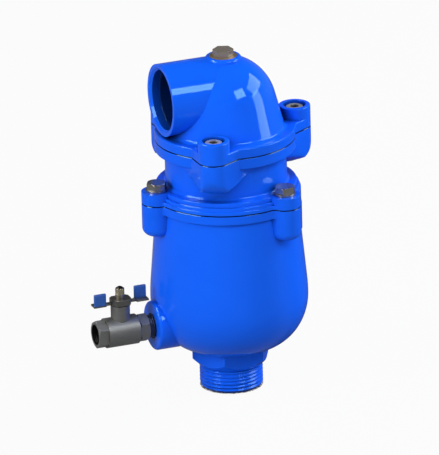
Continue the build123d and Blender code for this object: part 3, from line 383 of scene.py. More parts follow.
@dataclass(frozen=True)
class Metal:
    """Worked metal: fine marks round the line it was turned about, a cloudy grain, and slightly worn edges.

    A metallic value under 1 stands for the thin dull film on a piece, and keeps a face that mirrors the dark from
    going black.
    """

    name: str
    base: str
    shade: str
    roughness: float
    metallic: float = 1.0
    line: Line = Line.VALVE
    mark_mm: float = 0.35
    mark_height_mm: float = 0.002
    mark_spread: tuple[float, float] = (0.85, 1.2)
    grain_mm: float = 4.0
    edge_mm: float = 0.25
    # Painted shade sinks the colour where little of the open air is seen within the reach, and is gone at the second
    # openness
    painted_shade: str = "0B0B0A"
    hollow_mm: float = 9.0
    hollow_range: tuple[float, float] = (0.2, 0.62)
    # Within the dark radius round its line the metal is painted near black as shade, as an unlit bore is; 0 leaves
    # this out
    dark_r_mm: float = 0.0
    dark_fade_mm: float = 0.25
    dark_share: float = 0.04

    def material(self) -> bpy.types.Material:
        """Builds the metal.

        Returns:
            A material with rings round its line in height and roughness, over a cloudy two-tone base that painted
            shade darkens in hollows and, where a dark radius is set, near black round its line.
        """
        material, tree = new_tree(self.name)
        point = object_point(tree)
        centre, axis = self.line.value
        moved = add_node(tree, "ShaderNodeVectorMath", {0: point, 1: centre}, operation="SUBTRACT")
        cloud = add_node(
            tree,
            "ShaderNodeTexNoise",
            {"Vector": point, "Scale": 1 / (self.grain_mm * MM), "Detail": 4.0, "Roughness": 0.6},
        )
        tint = add_node(
            tree,
            "ShaderNodeMix",
            {"Factor": cloud.outputs["Fac"], 6: linear(self.base), 7: linear(self.shade)},
            data_type="RGBA",
        )
        # Painted shade: the colour sinks to near black in hollows
        hollow = add_node(tree, "ShaderNodeAmbientOcclusion", {"Distance": self.hollow_mm * MM}, samples=8)
        unshaded_share = add_node(
            tree,
            "ShaderNodeMapRange",
            {"Value": hollow.outputs["AO"], "From Min": self.hollow_range[0], "From Max": self.hollow_range[1]},
            interpolation_type="SMOOTHSTEP",
        )
        colour = add_node(
            tree,
            "ShaderNodeMix",
            {"Factor": unshaded_share.outputs["Result"], 6: linear(self.painted_shade), 7: tint.outputs[2]},
            data_type="RGBA",
        )
        # A face square to the line shows rings by its distance from the line, a wall round it shows them along it
        apart = add_node(tree, "ShaderNodeSeparateXYZ", {"Vector": moved.outputs["Vector"]})
        squares = [
            add_node(tree, "ShaderNodeMath", {0: apart.outputs[name], 1: apart.outputs[name]}, operation="MULTIPLY")
            for name in "XYZ"
            if name != axis
        ]
        total = add_node(tree, "ShaderNodeMath", {0: squares[0].outputs[0], 1: squares[1].outputs[0]}, operation="ADD")
        reach = add_node(tree, "ShaderNodeMath", {0: total.outputs[0]}, operation="SQRT")
        # Painted shade: near black within the dark radius round the line, as in an unlit bore
        if self.dark_r_mm:
            lit = add_node(
                tree,
                "ShaderNodeMapRange",
                {
                    "Value": reach.outputs[0],
                    "From Min": self.dark_r_mm * MM,
                    "From Max": (self.dark_r_mm + self.dark_fade_mm) * MM,
                    "To Min": self.dark_share,
                },
            )
            colour = add_node(
                tree,
                "ShaderNodeMix",
                {"Factor": lit.outputs["Result"], 6: linear(self.painted_shade), 7: colour.outputs[2]},
                data_type="RGBA",
            )
        ring_place = add_node(tree, "ShaderNodeMath", {0: reach.outputs[0], 1: apart.outputs[axis]}, operation="ADD")
        wound = add_node(tree, "ShaderNodeCombineXYZ", {"X": ring_place.outputs[0]})
        rings = add_node(
            tree,
            "ShaderNodeTexNoise",
            {"Vector": wound.outputs["Vector"], "Scale": 1 / (self.mark_mm * MM), "Detail": 3.0},
        )
        rough = add_node(
            tree,
            "ShaderNodeMapRange",
            {
                "Value": rings.outputs["Fac"],
                "From Min": NOISE_RANGE[0],
                "From Max": NOISE_RANGE[1],
                "To Min": self.roughness * self.mark_spread[0],
                "To Max": self.roughness * self.mark_spread[1],
            },
        )
        inputs = {
            "Base Color": colour.outputs[2],
            "Metallic": self.metallic,
            "Roughness": rough.outputs["Result"],
        }
        add_surface(tree, rings.outputs["Fac"], self.mark_height_mm, self.edge_mm, inputs)
        return material


@dataclass(frozen=True)
class Polymer:
    """Moulded, dipped or turned polymer: an even colour with faint mottling and a fine skin texture."""

    name: str
    base: str
    shade: str
    roughness: float
    gloss_spread: tuple[float, float] = (0.85, 1.15)
    mottle_mm: float = 6.0
    skin_mm: float = 0.5
    skin_height_mm: float = 0.006
    edge_mm: float = 0.3

    def material(self) -> bpy.types.Material:
        """Builds the polymer.

        Returns:
            A material that mottles between two near colours under a fine skin.
        """
        material, tree = new_tree(self.name)
        point = object_point(tree)
        mottle = add_node(
            tree,
            "ShaderNodeTexNoise",
            {"Vector": point, "Scale": 1 / (self.mottle_mm * MM), "Detail": 3.0, "Roughness": 0.5},
        )
        tint = add_node(
            tree,
            "ShaderNodeMix",
            {"Factor": mottle.outputs["Fac"], 6: linear(self.base), 7: linear(self.shade)},
            data_type="RGBA",
        )
        skin = add_node(tree, "ShaderNodeTexNoise", {"Vector": point, "Scale": 1 / (self.skin_mm * MM), "Detail": 2.0})
        rough = add_node(
            tree,
            "ShaderNodeMapRange",
            {
                "Value": mottle.outputs["Fac"],
                "To Min": self.roughness * self.gloss_spread[0],
                "To Max": self.roughness * self.gloss_spread[1],
            },
        )
        inputs = {"Base Color": tint.outputs[2], "Roughness": rough.outputs["Result"]}
        add_surface(tree, skin.outputs["Fac"], self.skin_height_mm, self.edge_mm, inputs)
        return material


class Finish(Enum):
    """Every finish on the valve, each after its real material and the way its surface was made; some also carry
    painted shade.
    """

    # Fusion-bonded epoxy on ductile iron: thick and glossy, so lamps stand in it as clear shapes
    BLUE_EPOXY = Epoxy("blue_epoxy", body="1566FF", rich="1060FA", shade_and_joint_blue="041436")
    # Forged stainless heads: smooth flats that pick up the blue beside them
    BOLT_STEEL = Metal("bolt_steel", base="B4B3AC", shade="A6A59E", roughness=0.23, metallic=0.90, grain_mm=9.0)
    # Socket screws, tumbled to a light satin that stays pale in the shade of their bosses
    SCREW_STEEL = Metal("screw_steel", base="C4C4C2", shade="ACACAA", roughness=0.38, metallic=0.55)
    # Milled and turned stainless plug: a clean brownish grey
    PLUG_STEEL = Metal("plug_steel", base="B3A99F", shade="A3998F", roughness=0.2, metallic=0.66, grain_mm=9.0)
    # Stamped bronze washer: dull tan
    BRONZE = Metal("bronze_washer", base="BBA882", shade="A38F6C", roughness=0.36, metallic=0.70, hollow_mm=3.0)
    # Forged brass, blasted and nickel plated: a broad soft glint over a fine grain, and a bore painted near black as
    # shade
    VALVE_NICKEL = Metal(
        "valve_nickel",
        base="A1A3A1",
        shade="848583",
        roughness=0.50,
        metallic=0.86,
        line=Line.DRAIN,
        mark_mm=0.22,
        grain_mm=1.1,
        hollow_mm=20.0,
        dark_r_mm=9.75,
    )
    # A darker, bluish copy of the plating for the nipple's turns: painted shade and a painted reflection of the blue
    # boss in the narrow gap
    NIPPLE_SHADED_NICKEL = Metal(
        "nipple_shaded_nickel",
        base="5C6580",
        shade="485068",
        roughness=0.42,
        metallic=0.92,
        line=Line.DRAIN,
    )
    # Turned and plated brass: smoother and a little warmer than the forging
    STEM_NICKEL = Metal("stem_nickel", base="A8A392", shade="918C7E", roughness=0.34, metallic=0.85, line=Line.STEM)
    # Pressed plate, zinc plated: dark grey with a fine cloud
    HANDLE_STEEL = Metal(
        "handle_steel",
        base="92918E",
        shade="7C7B78",
        roughness=0.30,
        metallic=0.92,
        line=Line.STEM,
        grain_mm=2.5,
    )
    # Passivated cap nut: olive-yellow flats under a crown painted near black as shade
    CAP_NUT_STEEL = Metal(
        "cap_nut_steel",
        base="CFC8AC",
        shade="B3AC92",
        roughness=0.24,
        metallic=0.85,
        line=Line.STEM,
        dark_r_mm=3.55,
    )
    # Dipped soft vinyl: even mid blue with a dull sheen
    SLEEVE_BLUE = Polymer("sleeve_blue", base="2B5FB4", shade="2452A2", roughness=0.34)
    # Chromed and lapped ball: a mirror
    BALL_CHROME = Metal("ball_chrome", base="D2D2D4", shade="C4C4C8", roughness=0.08, line=Line.STEM)
    # Cast and machined stainless: satin grey
    INNER_STEEL = Metal("inner_steel", base="B4B5B6", shade="9C9D9F", roughness=0.28)
    # Drawn stainless sheet: bright, with wide drawing marks
    FLOAT_STEEL = Metal("float_steel", base="C2C4C6", shade="AEB0B3", roughness=0.20, mark_mm=0.8)
    # Machined bronze: warm brown-gold
    SEAT_BRONZE = Metal("seat_bronze", base="B98F52", shade="9A7643", roughness=0.28)
    # Turned brass: bright yellow
    NOZZLE_BRASS = Metal("nozzle_brass", base="C7A45A", shade="AB8B4B", roughness=0.22)
    # Moulded EPDM: matt black
    RUBBER = Polymer("seal_rubber", base="161616", shade="1E1E1E", roughness=0.62)
    # Turned PTFE: waxy white
    PTFE = Polymer("bush_ptfe", base="EDEDE8", shade="E3E2DC", roughness=0.45)
    # Turned acetal: ivory, smooth
    ACETAL = Polymer("plug_acetal", base="DAD9D0", shade="CFCEC4", roughness=0.40)


# Each finish's material is built once, for the first piece that has it
_made: dict[Finish, bpy.types.Material] = {}


def dress(piece: bpy.types.Object, finish: Finish) -> None:
    """Gives every slot of a piece one finish.

    Args:
        piece: The piece, a CAD node or a new one.
        finish: What it is finished in.
    """
    if finish not in _made:
        _made[finish] = finish.value.material()
    piece.data.materials.clear()
    piece.data.materials.append(_made[finish])


# Surfaces


def grid_mesh(name: str, points: np.ndarray, closed: bool) -> bpy.types.Mesh:
    """Makes a mesh of quads over a grid of points.

    Args:
        name: The mesh's name.
        points: Its points in metres, as rows by columns by three.
        closed: Whether the last column joins the first.

    Returns:
        The mesh. Each quad runs along its row, then up to the next row and back.
    """
    rows, columns = points.shape[:2]
    last = columns if closed else columns - 1
    row, column = np.meshgrid(np.arange(rows - 1), np.arange(last), indexing="ij")
    after = (column + 1) % columns
    quads = np.stack(
        (row * columns + column, row * columns + after, (row + 1) * columns + after, (row + 1) * columns + column),
        axis=-1,
    ).reshape(-1, 4)
    mesh = bpy.data.meshes.new(name)
    mesh.from_pydata(points.reshape(-1, 3).tolist(), [], quads.tolist())
    return mesh


def add_piece(mesh: bpy.types.Mesh, body: str, finish: Finish) -> bpy.types.Object:
    """Puts a smooth piece into the scene.

    Args:
        mesh: Its mesh, whose name it takes.
        body: The body that it rides on.
        finish: What it is finished in.

    Returns:
        The piece.
    """
    mesh.shade_smooth()
    piece = bpy.data.objects.new(mesh.name, mesh)
    bpy.context.collection.objects.link(piece)
    dress(piece, finish)
    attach(piece, body)
    return piece


def merged_copy(
    node: bpy.types.Object,
    name: str,
    drop: Callable[[np.ndarray], np.ndarray],
    shape: Callable[[bmesh.types.BMesh], None],
) -> bpy.types.Mesh:
    """Copies a CAD node's mesh, merged, without the faces that a new surface takes the place of.

    Args:
        node: The CAD node.
        name: The copy's name.
        drop: Says, for an array of points, which of them lie on the part that goes. A face goes if all its corners do.
        shape: Reshapes the merged mesh before its sharp edges are marked.

    Returns:
        The copy, with its sharp edges marked.
    """
    mesh = node.data.copy()
    mesh.name = name
    work = bmesh.new()
    work.from_mesh(mesh)
    bmesh.ops.remove_doubles(work, verts=work.verts, dist=MERGE_MM * MM)
    work.verts.index_update()
    going = drop(np.array([v.co for v in work.verts]))
    faces = [f for f in work.faces if all(going[v.index] for v in f.verts)]
    bmesh.ops.delete(work, geom=faces, context="FACES")
    shape(work)
    for edge in work.edges:
        edge.smooth = len(edge.link_faces) != 2 or edge.calc_face_angle(0.0) < math.radians(SHARP_DEG)
    work.to_mesh(mesh)
    work.free()
    return mesh


@dataclass(frozen=True)
class Thread:
    """A round-crested pipe thread about a line. A crest power below 1 makes the crests broad."""

    root_mm: float
    crest_mm: float
    pitch_mm: float
    start_mm: float
    end_mm: float
    lead_mm: float
    runout_mm: float
    around: int = 180
    steps: int = 16
    crest_power: float = 0.55

    def surface(self) -> np.ndarray:
        """Works out the thread's surface about +Z.

        Returns:
            Points in metres. At height h and angle a the radius is the root's plus the depth times
            (1 + cos(2 pi (h / pitch - a / 2 pi))) / 2 to the crest power, and the depth fades to nothing over the
            lead at the start and over the runout at the end.
        """
        rows = int((self.end_mm - self.start_mm) / self.pitch_mm * self.steps) + 1
        height, turn = np.meshgrid(
            np.linspace(self.start_mm, self.end_mm, rows),
            np.linspace(0, 2 * np.pi, self.around, endpoint=False),
            indexing="ij",
        )
        wave = 0.5 + 0.5 * np.cos(2 * np.pi * height / self.pitch_mm - turn)
        lead = np.clip((height - self.start_mm) / self.lead_mm, 0, 1)
        runout = np.clip((self.end_mm - height) / self.runout_mm, 0, 1)
        radius = self.root_mm + (self.crest_mm - self.root_mm) * wave**self.crest_power * lead * runout
        return np.stack((radius * np.cos(turn), radius * np.sin(turn), height), axis=-1) * MM


# The valve


class Group:
    """A sub-assembly, of which some nodes keep their shape and only get their finish."""

    finishes: ClassVar[dict[str, Finish]] = {}

    def dress_nodes(self, frame: dict) -> None:
        """Gives each node that keeps its shape its finish."""
        for name, finish in self.finishes.items():
            dress(frame["nodes"][name], finish)


@dataclass
class Castings(Group):
    """The blue castings: body, cover and hood.

    The body's spigot gets its thread and its lobes their full depth, and the cover gets soft bosses.
    """

    finishes: ClassVar[dict[str, Finish]] = {"hood": Finish.BLUE_EPOXY}
    bolt_circle_mm: float = 70.0
    # Inlet: the spigot's bore, its thread, and how far inside the thread's root the end's flat and chamfer begin
    bore_mm: float = 24.0
    thread: Thread = Thread(
        root_mm=28.6, crest_mm=29.8, pitch_mm=3.55, start_mm=0.8, end_mm=22.5, lead_mm=1.8, runout_mm=1.6
    )
    end_inset_mm: float = 1.0
    end_chamfer_mm: float = 0.25
    # How far off the spigot's wall, and off its upper end, a point may lie and still count as on it
    spigot_play_mm: tuple[float, float] = (0.05, 0.01)
    # Lobes: where they stand, their radius, the heights between which their feet lie, and how far these move down
    lobe_angles: tuple[float, ...] = (60.0, 180.0, 300.0)
    lobe_r_mm: float = 14.6
    lobe_foot_mm: tuple[float, float] = (160.0, 172.5)
    lobe_drop_mm: float = 3.1
    # The bowl's cone: its radius at a height, its taper, and how far off it a point may lie
    cone_mm: tuple[float, float] = (73.553, 105.317)
    taper_deg: float = 5.0
    cone_play_mm: float = 0.1
    # Bosses: where they stand, the heights and the reach that bound their free sides, and the hole kept as it is.
    # Edges longer than the step are halved this many times, and then the points are evened out in rounds
    boss_angles: tuple[float, ...] = (0.0, 120.0, 240.0)
    boss_z_mm: tuple[float, float] = (206.0, 236.4)
    boss_reach_mm: float = 57.4
    boss_hole_mm: float = 6.0
    boss_step_mm: float = 1.8
    boss_halvings: int = 4
    boss_rounds: int = 14

    def middles(self, angles: tuple[float, ...]) -> np.ndarray:
        """Places points on the bolt circle at the given angles, in mm."""
        turn = np.radians(np.array(angles))
        return self.bolt_circle_mm * np.stack((np.cos(turn), np.sin(turn)), axis=-1)

    def boss_verts(self, work: bmesh.types.BMesh) -> set[bmesh.types.BMVert]:
        """Finds the points on the outside of the three bosses, clear of neck, flange and screw holes."""
        places = np.array([v.co for v in work.verts]) / MM
        apart = np.linalg.norm(places[None, :, :2] - self.middles(self.boss_angles)[:, None], axis=-1).min(axis=0)
        reach = np.hypot(places[:, 0], places[:, 1])
        low, high = self.boss_z_mm
        free = (places[:, 2] > low) & (places[:, 2] < high) & (reach > self.boss_reach_mm)
        return {v for v, yes in zip(work.verts, free & (apart > self.boss_hole_mm)) if yes}

    def soften_bosses(self, work: bmesh.types.BMesh) -> None:
        """Rounds the toes and ridges of the bosses, by halving their long edges and evening their points out.

        Args:
            work: The cover's merged mesh.
        """
        for _ in range(self.boss_halvings):
            free = self.boss_verts(work)
            long = [
                e
                for e in work.edges
                if e.calc_length() > self.boss_step_mm * MM and (e.verts[0] in free or e.verts[1] in free)
            ]
            bmesh.ops.subdivide_edges(work, edges=long, cuts=1)
            bmesh.ops.triangulate(work, faces=[f for f in work.faces if len(f.verts) > 3])
        moving = list(self.boss_verts(work))
        for _ in range(self.boss_rounds):
            bmesh.ops.smooth_vert(work, verts=moving, factor=0.5, use_axis_x=True, use_axis_y=True, use_axis_z=True)

    def build_cover(self, frame: dict) -> bpy.types.Object:
        """Makes the cover with its bosses softened.

        Args:
            frame: The loaded model.

        Returns:
            The cover, from which nothing is dropped.
        """
        mesh = merged_copy(
            frame["nodes"]["cover"],
            "cover_casting",
            lambda points: np.zeros(len(points), dtype=bool),
            self.soften_bosses,
        )
        cover = add_piece(mesh, "casing", Finish.BLUE_EPOXY)
        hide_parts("cover")
        return cover

    def lengthen_lobes(self, work: bmesh.types.BMesh) -> None:
        """Moves the rounded feet of the flange's lobes down, and along the bowl's cone where they meet it.

        Args:
            work: The body's merged mesh.
        """
        places = np.array([v.co for v in work.verts]) / MM
        reach = np.hypot(places[:, 0], places[:, 1])
        apart = np.linalg.norm(places[None, :, :2] - self.middles(self.lobe_angles)[:, None], axis=-1).min(axis=0)
        low, high = self.lobe_foot_mm
        moving = (places[:, 2] > low) & (places[:, 2] < high) & (apart < self.lobe_r_mm)
        slope = math.tan(math.radians(self.taper_deg))
        cone = self.cone_mm[0] - (places[:, 2] - self.cone_mm[1]) * slope
        on_cone = np.abs(reach - cone) < self.cone_play_mm
        grow = 1 + np.where(on_cone, self.lobe_drop_mm * slope / reach.clip(1), 0)
        places[moving, :2] *= grow[moving, None]
        places[moving, 2] -= self.lobe_drop_mm
        for vert, place in zip(work.verts, places * MM):
            vert.co = place

    def on_spigot(self, points: np.ndarray) -> np.ndarray:
        """Marks the points, in metres, on the spigot's outer wall and its end, out to the crest and in to the bore."""
        beside, above = self.spigot_play_mm
        reach = np.hypot(points[:, 0], points[:, 1])
        below = points[:, 2] < (self.thread.end_mm + above) * MM
        return below & (reach < (self.thread.crest_mm + beside) * MM) & (reach > (self.bore_mm + beside) * MM)

    def build_body(self, frame: dict) -> list[bpy.types.Object]:
        """Makes the body with a real thread on its spigot.

        Args:
            frame: The loaded model.

        Returns:
            The casting without its plain spigot wall, and the thread with its chamfered end.
        """
        mesh = merged_copy(frame["nodes"]["valve_body"], "valve_body_casting", self.on_spigot, self.lengthen_lobes)
        casting = add_piece(mesh, "casing", Finish.BLUE_EPOXY)
        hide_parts("valve_body")
        turns = self.thread.surface()
        turn = np.linspace(0, 2 * np.pi, self.thread.around, endpoint=False)
        # The end face runs from the bore to a small chamfer, which meets the thread's first row
        ring_mm = np.array(
            [
                (self.bore_mm, 0.0),
                (self.thread.root_mm - self.end_inset_mm, 0.0),
                (self.thread.root_mm - self.end_chamfer_mm, self.end_chamfer_mm),
            ]
        )
        ends = np.stack(
            (
                ring_mm[:, :1] * np.cos(turn),
                ring_mm[:, :1] * np.sin(turn),
                np.broadcast_to(ring_mm[:, 1:], (len(ring_mm), turn.size)),
            ),
            axis=-1,
        )
        mesh = grid_mesh("inlet_thread", np.concatenate((ends * MM, turns)), closed=True)
        spigot = add_piece(mesh, "casing", Finish.BLUE_EPOXY)
        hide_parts("valve_body")
        return [casting, spigot]


class Fasteners(Group):
    """Flange bolts, washers, socket screws and the top plug."""

    finishes: ClassVar[dict[str, Finish]] = {
        "flange_bolts": Finish.BOLT_STEEL,
        "flange_washers": Finish.BOLT_STEEL,
        "hood_screws": Finish.SCREW_STEEL,
        "top_plug": Finish.PLUG_STEEL,
        "top_plug_washer": Finish.BRONZE,
    }


@dataclass
class DrainValve(Group):
    """The lever ball valve on the bowl."""

    finishes: ClassVar[dict[str, Finish]] = {
        "drain_barrel": Finish.VALVE_NICKEL,
        "drain_connector": Finish.VALVE_NICKEL,
        "drain_stem": Finish.STEM_NICKEL,
        "gland_nut": Finish.STEM_NICKEL,
        "handle_plate": Finish.HANDLE_STEEL,
        "handle_sleeves": Finish.SLEEVE_BLUE,
        "handle_nut": Finish.CAP_NUT_STEEL,
        "drain_ball": Finish.BALL_CHROME,
        "ball_seats": Finish.PTFE,
        "stem_packing": Finish.PTFE,
    }
    line_z_mm: float = 70.0
    # The turns that show on the connector's nipple, and those inside the barrel's open end, whose crests point inward
    nipple: Thread = Thread(
        root_mm=10.45,
        crest_mm=10.95,
        pitch_mm=1.81,
        start_mm=77.6,
        end_mm=84.4,
        lead_mm=0.5,
        runout_mm=0.5,
        around=96,
        steps=10,
    )
    mouth: Thread = Thread(
        root_mm=9.28,
        crest_mm=8.7,
        pitch_mm=1.81,
        start_mm=124.3,
        end_mm=133.6,
        lead_mm=0.8,
        runout_mm=1.5,
        around=96,
        steps=10,
    )

    def along_drain(self, points: np.ndarray) -> np.ndarray:
        """Turns points from about +Z to about the drain's line, heights becoming distances along -X."""
        return np.stack((-points[..., 2], points[..., 1], points[..., 0] + self.line_z_mm * MM), axis=-1)

    def build_threads(self) -> list[bpy.types.Object]:
        """Cuts the turns.

        Returns:
            The nipple's turns, which stand on it, and the turns inside the open end, whose faces point inward.
        """
        rows = (
            ("nipple_thread", self.nipple.surface(), Finish.NIPPLE_SHADED_NICKEL),
            ("drain_outlet_thread", self.mouth.surface()[:, ::-1], Finish.VALVE_NICKEL),
        )
        return [
            add_piece(grid_mesh(name, self.along_drain(points), closed=True), "casing", finish)
            for name, points, finish in rows
        ]


class Internals(Group):
    """What works inside the castings: float, guide, seat, cage, plug and seals."""

    finishes: ClassVar[dict[str, Finish]] = {
        "body_o_ring": Finish.RUBBER,
        "hood_o_ring": Finish.RUBBER,
        "seat_seal": Finish.RUBBER,
        "nozzle_seal": Finish.RUBBER,
        "guide_spider": Finish.INNER_STEEL,
        "guide_bush": Finish.PTFE,
        "seat_ring": Finish.SEAT_BRONZE,
        "plug_cage": Finish.INNER_STEEL,
        "kinetic_plug": Finish.ACETAL,
        "nozzle": Finish.NOZZLE_BRASS,
        "float_upper_shell": Finish.FLOAT_STEEL,
        "float_lower_shell": Finish.FLOAT_STEEL,
        "float_rod": Finish.FLOAT_STEEL,
        "rod_nut": Finish.BOLT_STEEL,
    }


# The studio


@dataclass
class Softbox:
    """A plain rectangular lamp that faces the valve, at an azimuth and an elevation in degrees.

    It can leave the light to others and only show in gloss and metal, or light without showing.
    """

    name: str
    azimuth: float
    elevation: float
    distance_m: float
    width_m: float
    height_m: float
    radiance: float
    lights: bool = True
    shows: bool = True

    def place(self, centre: Vector) -> bpy.types.Object:
        """Hangs the lamp on its direction from the valve.

        Args:
            centre: What it faces.

        Returns:
            The lamp, whose power is pi times its area times its radiance.
        """
        lamp = bpy.data.lights.new(self.name, "AREA")
        lamp.shape = "RECTANGLE"
        lamp.size, lamp.size_y = self.width_m, self.height_m
        lamp.energy = math.pi * self.width_m * self.height_m * self.radiance
        holder = bpy.data.objects.new(self.name, lamp)
        bpy.context.collection.objects.link(holder)
        a, e = math.radians(self.azimuth), math.radians(self.elevation)
        towards = Vector((math.sin(a) * math.cos(e), -math.cos(a) * math.cos(e), math.sin(e)))
        holder.location = centre + towards * self.distance_m
        holder.rotation_mode = "QUATERNION"
        holder.rotation_quaternion = towards.to_track_quat("Z", "Y")
        holder.visible_camera = False
        holder.visible_diffuse = self.lights
        holder.visible_glossy = self.shows
        return holder


@dataclass
class Studio:
    """Pale floor, soft lamps, a white surround, dark cards for the gloss, and the camera."""

    # The camera: its direction and roll in degrees, the picture's scale, and where the valve's origin lies in it
    azimuth: float = -20.9
    elevation: float = 20.38
    roll: float = 1.51
    px_per_mm: float = 1.0686
    origin_px: tuple[float, float] = (231.69, 383.43)
    image_px: tuple[int, int] = (439, 455)
    lens_mm: float = 1000.0
    sensor_mm: float = 36.0
    clip_m: tuple[float, float] = (0.1, 100.0)
    # The strength of the white surround as a light
    surround: float = 0.36
    # The floor's side, its paint, and how far it is plain white in view
    floor_m: float = 30.0
    floor_paint: str = "989898"
    floor_white: float = 0.95
    # The tent's radius, its rows and columns of points, its glow at foot and top, and the share of its height where
    # the glow has sunk to the top's
    tent_m: float = 5.0
    tent_points: tuple[int, int] = (13, 49)
    tent_glow: tuple[float, float] = (0.20, 0.01)
    tent_fade: float = 0.6
    # The cloth's inner and outer radius, its height over the floor and its glow
    cloth_m: tuple[float, float] = (0.02, 2.4)
    cloth_rise_mm: float = 0.2
    cloth_glow: float = 0.20
    # The side where the cloth is dark: which way it lies, the cosines of the angle off it at which the dark begins
    # and is full, and what it takes from the glow
    dark_way: tuple[float, float, float] = (0.927, 0.375, 0.0)
    dark_range: tuple[float, float] = (0.50, 0.90)
    dark_glow: float = -0.15

    def build_camera(self, centre: Vector) -> None:
        """Places the camera so that the picture's scale, tilt and origin are the photograph's.

        Args:
            centre: The valve's middle, at whose depth the scale holds.
        """
        a, e, roll = (math.radians(v) for v in (self.azimuth, self.elevation, self.roll))
        toward = Vector((math.sin(a), -math.cos(a), 0))
        level = Vector((math.cos(a), math.sin(a), 0))
        rise = Vector((0, 0, 1)) * math.cos(e) - toward * math.sin(e)
        back = toward * math.cos(e) + Vector((0, 0, 1)) * math.sin(e)
        right = level * math.cos(roll) - rise * math.sin(roll)
        up = rise * math.cos(roll) + level * math.sin(roll)
        across = (self.image_px[0] / 2 - self.origin_px[0]) / self.px_per_mm * MM
        above = (self.origin_px[1] - self.image_px[1] / 2) / self.px_per_mm * MM
        camera = bpy.data.cameras.new("camera")
        camera.lens = self.lens_mm
        camera.sensor_width = self.sensor_mm
        tall = self.image_px[1] / self.px_per_mm * MM
        distance = tall / (self.sensor_mm / self.lens_mm)
        holder = bpy.data.objects.new("camera", camera)
        bpy.context.collection.objects.link(holder)
        holder.location = right * across + up * above + back * (distance + back.dot(centre))
        turn = Matrix((right, up, back)).transposed()
        holder.rotation_mode = "QUATERNION"
        holder.rotation_quaternion = turn.to_quaternion()
        camera.clip_start, camera.clip_end = self.clip_m
        bpy.context.scene.camera = holder

    def build_lamps(self, centre: Vector) -> list[bpy.types.Object]:
        """Hangs the softboxes.

        Args:
            centre: The valve's middle, which they face.

        Returns:
            The lamps.
        """
        # Name, azimuth, elevation, then distance, width and height in metres, and radiance
        boxes = (
            Softbox("key_box", 24.5, 42.5, 1.3, 0.48, 0.38, 9.0),
            Softbox("side_box", 62.5, 12.0, 1.5, 0.60, 0.90, 4.4, lights=False),
            Softbox("side_top_box", 78.0, 36.5, 1.5, 1.02, 0.55, 4.6, lights=False),
            Softbox("left_box", -82.0, 20.0, 2.0, 0.80, 1.10, 8.2, shows=False),
            Softbox("right_box", 99.0, 20.0, 2.0, 0.80, 1.10, 13.0, shows=False),
            Softbox("rim_box", -82.0, 28.0, 2.0, 1.10, 0.62, 8.0, lights=False),
            Softbox("upper_left_box", -108.0, 54.0, 1.8, 0.80, 0.60, 13.0, lights=False),
            Softbox("front_fill", -35.0, 42.0, 2.4, 1.6, 1.6, 1.6, shows=False),
        )
        return [box.place(centre) for box in boxes]

    def build_surround(self) -> None:
        """Makes the world, plain white in view and in reflections and a soft fill otherwise."""
        world = bpy.data.worlds.new("surround")
        bpy.context.scene.world = world
        world.use_nodes = True
        tree = world.node_tree
        tree.nodes.clear()
        path = add_node(tree, "ShaderNodeLightPath")
        seen = add_node(
            tree,
            "ShaderNodeMath",
            {0: path.outputs["Is Camera Ray"], 1: path.outputs["Is Glossy Ray"]},
            operation="MAXIMUM",
        )
        plain = add_node(
            tree,
            "ShaderNodeMath",
            {0: seen.outputs[0], 1: path.outputs["Is Transmission Ray"]},
            operation="MAXIMUM",
        )
        fill = add_node(tree, "ShaderNodeBackground", {"Color": linear("FFFFFF"), "Strength": self.surround})
        white = add_node(tree, "ShaderNodeBackground", {"Color": linear("FFFFFF"), "Strength": 1.0})
        mixed = add_node(
            tree,
            "ShaderNodeMixShader",
            {0: plain.outputs[0], 1: fill.outputs["Background"], 2: white.outputs["Background"]},
        )
        add_node(tree, "ShaderNodeOutputWorld", {"Surface": mixed.outputs["Shader"]})

    def build_floor(self) -> bpy.types.Object:
        """Lays the floor: pale, with a glow in view that leaves the valve's shadow.

        Returns:
            The floor, a flat sheet.
        """
        half = self.floor_m / 2
        mesh = bpy.data.meshes.new("floor")
        mesh.from_pydata([(-half, -half, 0), (half, -half, 0), (half, half, 0), (-half, half, 0)], [], [(0, 1, 2, 3)])
        floor = bpy.data.objects.new("floor", mesh)
        bpy.context.collection.objects.link(floor)
        material, tree = new_tree("pale_floor")
        path = add_node(tree, "ShaderNodeLightPath")
        paint = add_node(tree, "ShaderNodeBsdfDiffuse", {"Color": linear(self.floor_paint)})
        glow = add_node(tree, "ShaderNodeEmission", {"Color": linear("FFFFFF"), "Strength": 1.0})
        share = add_node(
            tree,
            "ShaderNodeMath",
            {0: path.outputs["Is Camera Ray"], 1: self.floor_white},
            operation="MULTIPLY",
        )
        mixed = add_node(
            tree,
            "ShaderNodeMixShader",
            {0: share.outputs[0], 1: paint.outputs["BSDF"], 2: glow.outputs["Emission"]},
        )
        add_node(tree, "ShaderNodeOutputMaterial", {"Surface": mixed.outputs["Shader"]})
        mesh.materials.append(material)
        floor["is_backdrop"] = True
        return floor

